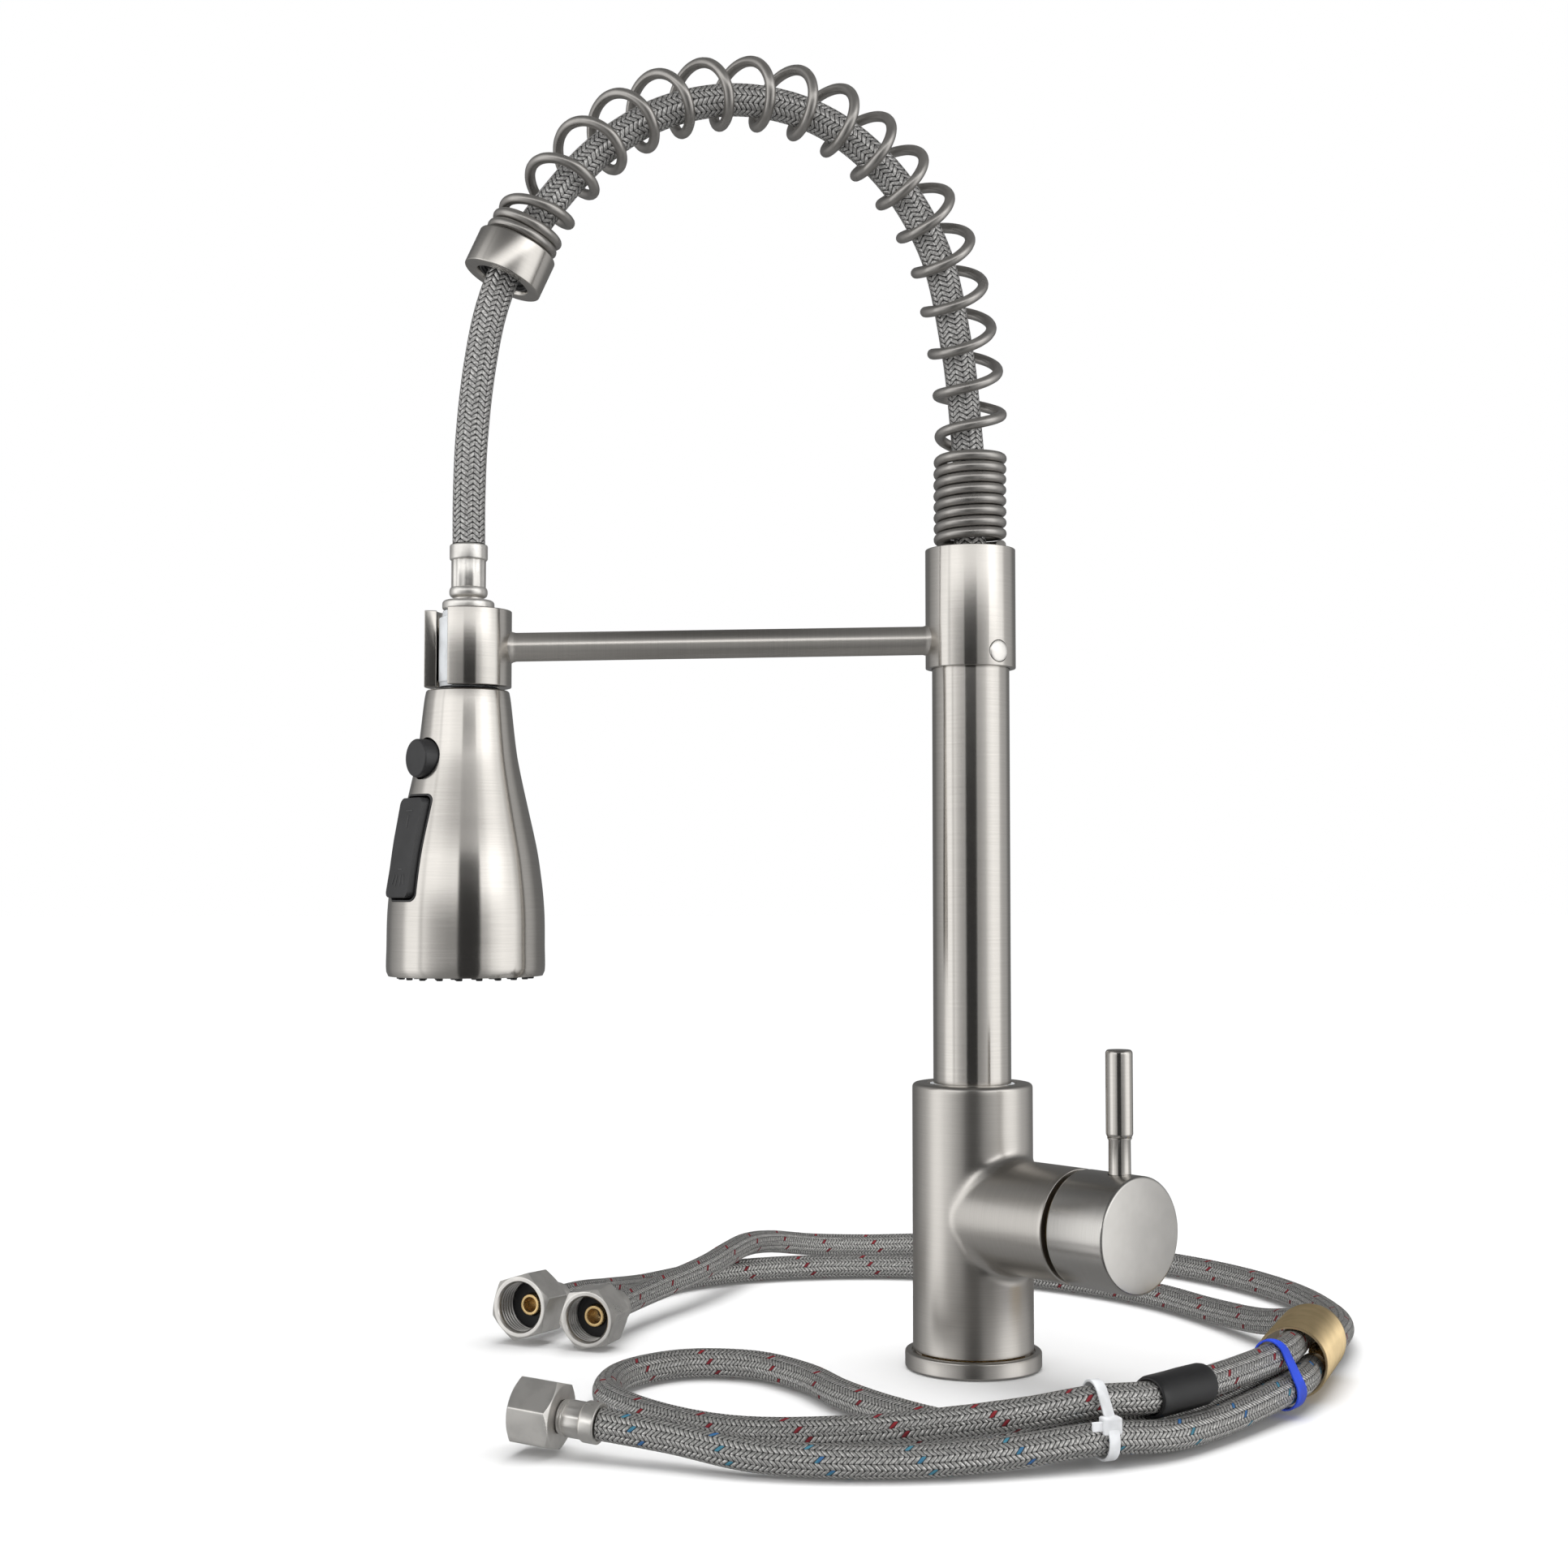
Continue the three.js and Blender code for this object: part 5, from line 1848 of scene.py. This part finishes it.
    def button(self) -> None:
        """The round button, a little domed."""
        r = self.button_radius
        out = self.button_face
        bm = spun(
            [(0, 17.2), (4.5, 17.2), (4.5, 14.5), (r, 14.5), (r, out - 0.9), (r, out, 0.9),
            (0, out + 0.15)], 72, rounding=6
        )
        lie = Matrix.Translation((0, 0, self.button_height)) @ Matrix.Rotation(math.pi / 2, 4, "Y")
        moved(bm, lie)
        self.add("spray_pause_button", bm, self.finishes.black, "button", "black_plastic", "pause_button")

    def rocker(self) -> None:
        """The black rocker: a bent face with soft edges."""
        half = self.rocker_width / 2
        side = [
            *zip(self.face_out, self.face_heights), (29.2, 177.8), (26.4, 177.8), (24.3, 192),
            (20.6, 215.2), (19.9, 215.8),
        ]
        bm = slab(side, self.rocker_width)
        flip = Matrix(((1, 0, 0, 0), (0, 0, 1, -half), (0, 1, 0, 0), (0, 0, 0, 1)))
        moved(bm, flip)
        bmesh.ops.recalc_face_normals(bm, faces=bm.faces)
        corners = [
            e for e in bm.edges
            if e.calc_face_angle(0) > 0.6 and abs(e.verts[0].co.y - e.verts[1].co.y) > 1
        ]
        bmesh.ops.bevel(
            bm, geom=corners, offset=0.6, offset_type="OFFSET", segments=3, profile=0.5, affect="EDGES",
            clamp_overlap=True, material=-1,
        )
        upper = self.window(-0.4, 10, 40, 2.6)
        bm = combined(bm, upper, Cut.KEEP)
        ease(bm, 1.0, 4, 40)
        self.add(
            "spray_mode_rocker", bm, self.finishes.black, "rocker", "black_plastic", "spray_rocker", 30
        )

    def face_at(self, height: float) -> float:
        """How far out the rocker's face is at a height."""
        return float(np.interp(height, self.face_heights[::-1], self.face_out[::-1]))

    def marks(self) -> None:
        """The two mode marks on the rocker, proud of its face."""
        rows = [
            ((-2.2, 210.6), (2.2, 210.6)), ((0, 209.0), (0, 204.2)),
            ((-1.5, 188.8), (1.5, 188.8)), ((-3.1, 186.9), (-3.9, 183.2)), ((-1.2, 186.9), (-1.5, 182.6)),
            ((1.2, 186.9), (1.5, 182.6)), ((3.1, 186.9), (3.9, 183.2)),
        ]
        lines = []
        for (y0, z0), (y1, z1) in rows:
            run = math.hypot(y1 - y0, z1 - z0)
            mid_z = (z0 + z1) / 2
            slope = (self.face_at(mid_z + 1) - self.face_at(mid_z - 1)) / 2
            along = Vector(((z1 - z0) * slope, y1 - y0, z1 - z0)).normalized()
            out = along.cross(Vector((0, 1, 0)) if abs(along.z) > 0.5 else UP).normalized()
            if out.x < 0:
                out.negate()
            across = out.cross(along)
            stroke = slab(
                [(-run / 2, -0.28), (run / 2, -0.28), (run / 2, 0.28), (-run / 2, 0.28)], 0.6, 0.12, 2
            )
            middle = Vector((self.face_at(mid_z), (y0 + y1) / 2, mid_z)) - out * 0.42
            lie = Matrix((along, across, out)).transposed().to_4x4()
            lines.append(moved(stroke, Matrix.Translation(middle) @ lie))
        strokes = moved(merged(lines), self.place())
        Piece.add("rocker_marks", strokes, self.finishes.mark, "rocker", "grey_plastic")

    def outlet(self) -> None:
        """The nozzle plate with its rubber tips, and the aerator with its mesh."""
        plate = spun([
            (8.6, 150.4, 0.2), (9.4, 150.2), (25.0, 150.2), (26.0, 149.4, 0.3), (27.1, 149.6, 0.2),
            (27.1, 152.4),
            (8.6, 152.4),
        ], 128, closed=True)
        self.add("outlet_plate", plate, self.finishes.grey, "spray_head", "grey_plastic", "nozzle_plate")
        tips = []
        for count, radius in ((10, 12.4), (15, 18.4), (21, 24.6)):
            for i in range(count):
                tip = spun([
                    (0, 150.6), (1.35, 150.6), (1.2, 147.7, 0.3), (0.5, 147.7), (0.4, 148.4), (0, 148.4),
                ], 16)
                angle = 2 * math.pi * i / count
                way = Vector((math.cos(angle), math.sin(angle), 0)) * radius
                tips.append(moved(tip, Matrix.Translation(way)))
        shape = moved(merged(tips), self.place())
        Piece.add("outlet_tips", shape, self.finishes.rubber, "spray_head", "rubber")
        rim = spun([(6.6, 149.4, 0.2), (8.1, 149.3, 0.3), (8.2, 152.4), (6.6, 152.4)], 72, closed=True)
        bars = []
        for i in range(-5, 6):
            reach = math.sqrt(6.9**2 - (i * 1.2) ** 2)
            bar = slab([(-reach, -0.16), (reach, -0.16), (reach, 0.16), (-reach, 0.16)], 0.7)
            moved(bar, Matrix.Translation((0, i * 1.2, 150.2)))
            cross = bar.copy()
            bars += [bar, moved(cross, Matrix.Rotation(math.pi / 2, 4, "Z"))]
        back = spun([(0, 151.2), (6.8, 151.2), (6.8, 152.3), (0, 152.3)], 48)
        self.add(
            "stream_aerator", merged((rim, back, *bars)),
            self.finishes.nickel, "spray_head", "nickel", "aerator"
        )

    def neck(self) -> None:
        """The pale neck that sits in the dock, its grey step and its seal."""
        r, low, high = self.neck_radius, self.neck_bottom, self.neck_top
        bm = spun([
            (4.5, 240.4), (8.5, 240.4), (8.5, low + 0.1), (r - 0.35, low + 0.1),
            (r - 0.3, low + 1.6, 0.2),
            (r, low + 1.9, 0.3), (r, high - 3.2, 0.4), (r - 1.2, high - 2.6, 0.4),
            (r - 1.4, high - 0.1, 0.6),
            (4.5, high - 0.1),
        ], 112, closed=True)
        self.add("head_neck", bm, self.finishes.grey, "spray_head", "grey_plastic", "dock_neck")
        seal = spun(
            [(8.9, 257.05), (12.0, 257.05, 0.2), (12.0, 257.55, 0.2), (8.9, 257.55)], 96, closed=True
        )
        self.add("neck_washer", seal, self.finishes.rubber, "spray_head", "rubber", "neck_seal")

    def build(self) -> None:
        """Makes the whole spray head."""
        self.shell()
        self.lining()
        self.button()
        self.rocker()
        self.marks()
        self.outlet()
        self.neck()
        dress("rocker_pin", self.finishes.nickel)
        dress("button_spring", self.finishes.nickel)


@dataclass
class HoseEnd:
    """The crimped ferrule and the polished swivel ring at the spray hose's lower end."""

    finishes: Finishes
    centre: tuple[float, float, float] = (-193.0, 0.0, 0.0)

    def ferrule(self) -> bmesh.types.BMesh:
        """A crimp band over a barrel pressed in flat panels, and a round bulge under it.

        Returns:
            The ferrule, in the hose end's frame.
        """
        band = spun([
            (6.3, 306.4), (7.0, 306.7, 0.3), (7.2, 307.2, 0.2), (7.2, 312.2, 0.4), (6.7, 312.6, 0.3),
            (6.3, 312.6),
        ], 72, closed=True)
        barrel = crimped(14, 6.55, 0.95, 11.0)
        moved(barrel, Matrix.Translation((0, 0, 296.0)))
        foot = spun([
            (0, 291.4), (5.6, 291.4), (5.6, 292.2, 0.3), (6.6, 292.5, 0.5), (7.25, 293.4, 0.6),
            (7.25, 295.2, 0.6), (6.7, 296.2, 0.4), (0, 296.4),
        ], 72)
        return merged((band, barrel, foot))

    def build(self) -> None:
        """Makes the ferrule and the swivel ring."""
        place = Matrix.Translation(self.centre)
        look = self.finishes.nickel
        Piece.add(
            "hose_crimp_lower", moved(self.ferrule(), place),
            look, "hose_end", "nickel", ["spray_ferrule"]
        )
        ring = spun([
            (5.2, 287.65), (9.6, 287.65, 0.3), (9.85, 288.2, 0.3), (9.85, 290.4, 0.5), (9.0, 291.15, 0.4),
            (5.2, 291.15),
        ], 96, closed=True)
        Piece.add("polished_swivel", moved(ring, place), look, "hose_end", "nickel", ["swivel_ring"])


@dataclass
class Studio:
    """The camera, the seamless floor and the soft light."""

    lens: float = 49.3
    position: tuple[float, float, float] = (-0.1298, -0.8209, 0.1826)
    azimuth: float = -4.0
    pitch: float = -2.72
    floor_drop: float = 0.0004
    surround: float = 1.45
    card: tuple[float, float, float] = (-0.27, 0.073, -0.58)
    bearings: Sequence[tuple[float, float]] = (
        (0, 0.10), (38, 0.14), (50, 0.16), (66, 0.36), (82, 0.42), (91, 0.50), (101, 0.97), (122, 1.0),
        (136, 0.78), (146, 0.44), (156, 0.32), (166, 0.24), (183, 0.2), (201, 0.22),
        (216, 0.32), (226, 0.44), (234, 0.62), (240, 0.78), (244, 0.52), (248, 0.80), (251, 1.0),
        (270, 0.96), (281, 0.48), (294, 0.36), (308, 0.26), (322, 0.14), (360, 0.10),
    )
    front_box: Sequence[tuple[float, float]] = ((0.13, 0.0), (0.24, 1.1), (0.40, 0.9), (0.52, 0.0))
    fade_from: float = 0.22
    fade_to: float = 0.75

    def camera(self) -> None:
        """Sets up the camera."""
        data = bpy.data.cameras.new("camera")
        data.lens = self.lens
        data.sensor_width = 36.0
        data.clip_start, data.clip_end = 0.01, 50.0
        holder = bpy.data.objects.new("camera", data)
        a, p = math.radians(self.azimuth), math.radians(self.pitch)
        back = Vector((math.sin(a) * math.cos(p), -math.cos(a) * math.cos(p), math.sin(p)))
        holder.location = self.position
        holder.rotation_euler = (-back).to_track_quat("-Z", "Y").to_euler()
        bpy.context.scene.collection.objects.link(holder)
        bpy.context.scene.camera = holder

    def floor(self) -> None:
        """Lays a wide pale floor just under the object."""
        bm = bmesh.new()
        bmesh.ops.create_grid(bm, x_segments=1, y_segments=1, size=12.0)
        bmesh.ops.translate(bm, vec=(0, 0, cad_bounds[0][2] - self.floor_drop), verts=bm.verts)
        mesh = bpy.data.meshes.new("floor")
        bm.to_mesh(mesh)
        bm.free()
        g = Graph("floor_white")
        cloud = g.noise(g.local(), 0.004, 2)
        away = g.add("VectorMath", {"operation": "LENGTH"}, {0: g.local((0, 0, 0))}, "Value") * MM
        fade = away.step(self.fade_from, self.fade_to)
        pale = g.mix(cloud, (0.79, 0.79, 0.79), (0.81, 0.81, 0.81))
        mesh.materials.append(g.shade(
            Base_Color=g.mix(fade, pale, (0.0, 0.0, 0.0)), Roughness=0.95,
            Emission_Color=g.mix(fade, (0.0, 0.0, 0.0), (1.0, 1.0, 1.0)), Emission_Strength=1.0,
        ))
        floor = bpy.data.objects.new("floor", mesh)
        bpy.context.scene.collection.objects.link(floor)
        floor.visible_glossy = False

    def flag(self) -> None:
        """Hangs a dark card in front, seen only in reflections."""
        left, right, front = self.card
        bm = bmesh.new()
        corners = [(left, front, -0.6), (right, front, -0.6), (right, front, 0.42), (left, front, 0.42)]
        bm.faces.new([bm.verts.new(c) for c in corners])
        mesh = bpy.data.meshes.new("dark_card")
        bm.to_mesh(mesh)
        bm.free()
        g = Graph("card_black")
        grey = g.mix(g.noise(g.local(), 0.01, 1), (0.035, 0.035, 0.035), (0.05, 0.05, 0.05))
        mesh.materials.append(g.shade(
            Base_Color=(0.0, 0.0, 0.0), Roughness=1.0, Emission_Color=grey, Emission_Strength=1.0,
            Specular_IOR_Level=0.0,
        ))
        card = bpy.data.objects.new("dark_card", mesh)
        bpy.context.scene.collection.objects.link(card)
        card.visible_camera = card.visible_diffuse = card.visible_shadow = False

    def world(self) -> None:
        """A white surround whose reflection carries dark flags and bright sides."""
        world = bpy.data.worlds.new("studio")
        world.use_nodes = True
        bpy.context.scene.world = world
        tree = world.node_tree
        place = tree.nodes.new("ShaderNodeTexCoord")
        ramp = tree.nodes.new("ShaderNodeValToRGB")
        split = tree.nodes.new("ShaderNodeSeparateXYZ")
        angle = tree.nodes.new("ShaderNodeMath")
        turns = tree.nodes.new("ShaderNodeMath")
        wrapped = tree.nodes.new("ShaderNodeMath")
        sky = tree.nodes.new("ShaderNodeMix")
        lift = tree.nodes.new("ShaderNodeMapRange")
        seen = tree.nodes.new("ShaderNodeLightPath")
        final = tree.nodes.new("ShaderNodeMix")
        angle.operation = "ARCTAN2"
        turns.operation = "MULTIPLY"
        turns.inputs[1].default_value = 1 / (2 * math.pi)
        wrapped.operation = "FRACT"
        tree.links.new(place.outputs["Generated"], split.inputs[0])
        tree.links.new(split.outputs["X"], angle.inputs[0])
        tree.links.new(split.outputs["Y"], angle.inputs[1])
        tree.links.new(angle.outputs[0], turns.inputs[0])
        tree.links.new(turns.outputs[0], wrapped.inputs[0])
        tree.links.new(wrapped.outputs[0], ramp.inputs[0])
        sky.data_type = final.data_type = "RGBA"
        tree.links.new(split.outputs["Z"], lift.inputs[0])
        lift.inputs[1].default_value, lift.inputs[2].default_value = 0.3, 0.85
        tree.links.new(lift.outputs[0], sky.inputs[0])
        front = tree.nodes.new("ShaderNodeMapRange")
        tree.links.new(split.outputs["Y"], front.inputs[0])
        front.inputs[1].default_value, front.inputs[2].default_value = -0.25, -0.7
        sky.inputs[7].default_value = (0.09, 0.09, 0.09, 1)
        bright = tree.nodes.new("ShaderNodeVectorMath")
        bright.operation = "SCALE"
        bright.inputs["Scale"].default_value = self.surround
        box = tree.nodes.new("ShaderNodeValToRGB")
        boxed = tree.nodes.new("ShaderNodeMix")
        boxed.data_type, boxed.blend_type = "RGBA", "ADD"
        tree.links.new(split.outputs["Z"], box.inputs[0])
        tree.links.new(front.outputs[0], boxed.inputs[0])
        tree.links.new(ramp.outputs[0], boxed.inputs[6])
        tree.links.new(box.outputs[0], boxed.inputs[7])
        tree.links.new(boxed.outputs[2], sky.inputs[6])
        self._stops(box.color_ramp, self.front_box)
        low = tree.nodes.new("ShaderNodeMapRange")
        ground = tree.nodes.new("ShaderNodeMix")
        ground.data_type = "RGBA"
        tree.links.new(split.outputs["Z"], low.inputs[0])
        low.inputs[1].default_value, low.inputs[2].default_value = -0.2, -0.7
        tree.links.new(low.outputs[0], ground.inputs[0])
        tree.links.new(sky.outputs[2], ground.inputs[6])
        ground.inputs[7].default_value = (0.19, 0.19, 0.19, 1)
        tree.links.new(ground.outputs[2], bright.inputs[0])
        tree.links.new(seen.outputs["Is Camera Ray"], final.inputs[0])
        tree.links.new(bright.outputs[0], final.inputs[6])
        final.inputs[7].default_value = (1, 1, 1, 1)
        tree.links.new(final.outputs[2], tree.nodes["Background"].inputs[0])
        self._stops(ramp.color_ramp, [(bearing / 360, level) for bearing, level in self.bearings])

    @staticmethod
    def _stops(ramp: bpy.types.ColorRamp, levels: Sequence[tuple[float, float]]) -> None:
        """Sets a ramp's stops as greys."""
        while len(ramp.elements) < len(levels):
            ramp.elements.new(0.5)
        for element, (place, level) in zip(ramp.elements, levels):
            element.position = place
            element.color = (level, level, level, 1)

    def lights(self) -> None:
        """Hangs two large soft lights over the object."""
        for name, place, size, watts in (
            ("overhead", (0.1, 0.1, 1.4), 1.5, 27.0), ("front_fill", (-0.6, -1.1, 1.3), 0.9, 8.0),
        ):
            data = bpy.data.lights.new(name, "AREA")
            data.size = size
            data.energy = watts
            light = bpy.data.objects.new(name, data)
            light.location = place
            light.rotation_euler = (Vector(place) - Vector((0, 0, 0.2))).to_track_quat("Z", "Y").to_euler()
            light.visible_glossy = False
            bpy.context.scene.collection.objects.link(light)

    def build(self) -> None:
        """Sets the whole stage."""
        self.camera()
        self.floor()
        self.flag()
        self.world()
        self.lights()
        bpy.context.scene.view_settings.view_transform = "Standard"


def main() -> None:
    """Builds the faucet and its stage."""
    logging.basicConfig(level=logging.INFO, format="%(message)s")
    Studio().build()
    finishes = Finishes.made()
    for assembly in (SupplyLines, MixerBase, Column, SpringArch, HoseEnd, SprayHead):
        log.info("building %s", assembly.__name__)
        assembly(finishes).build()


if __name__ == "__main__":
    main()
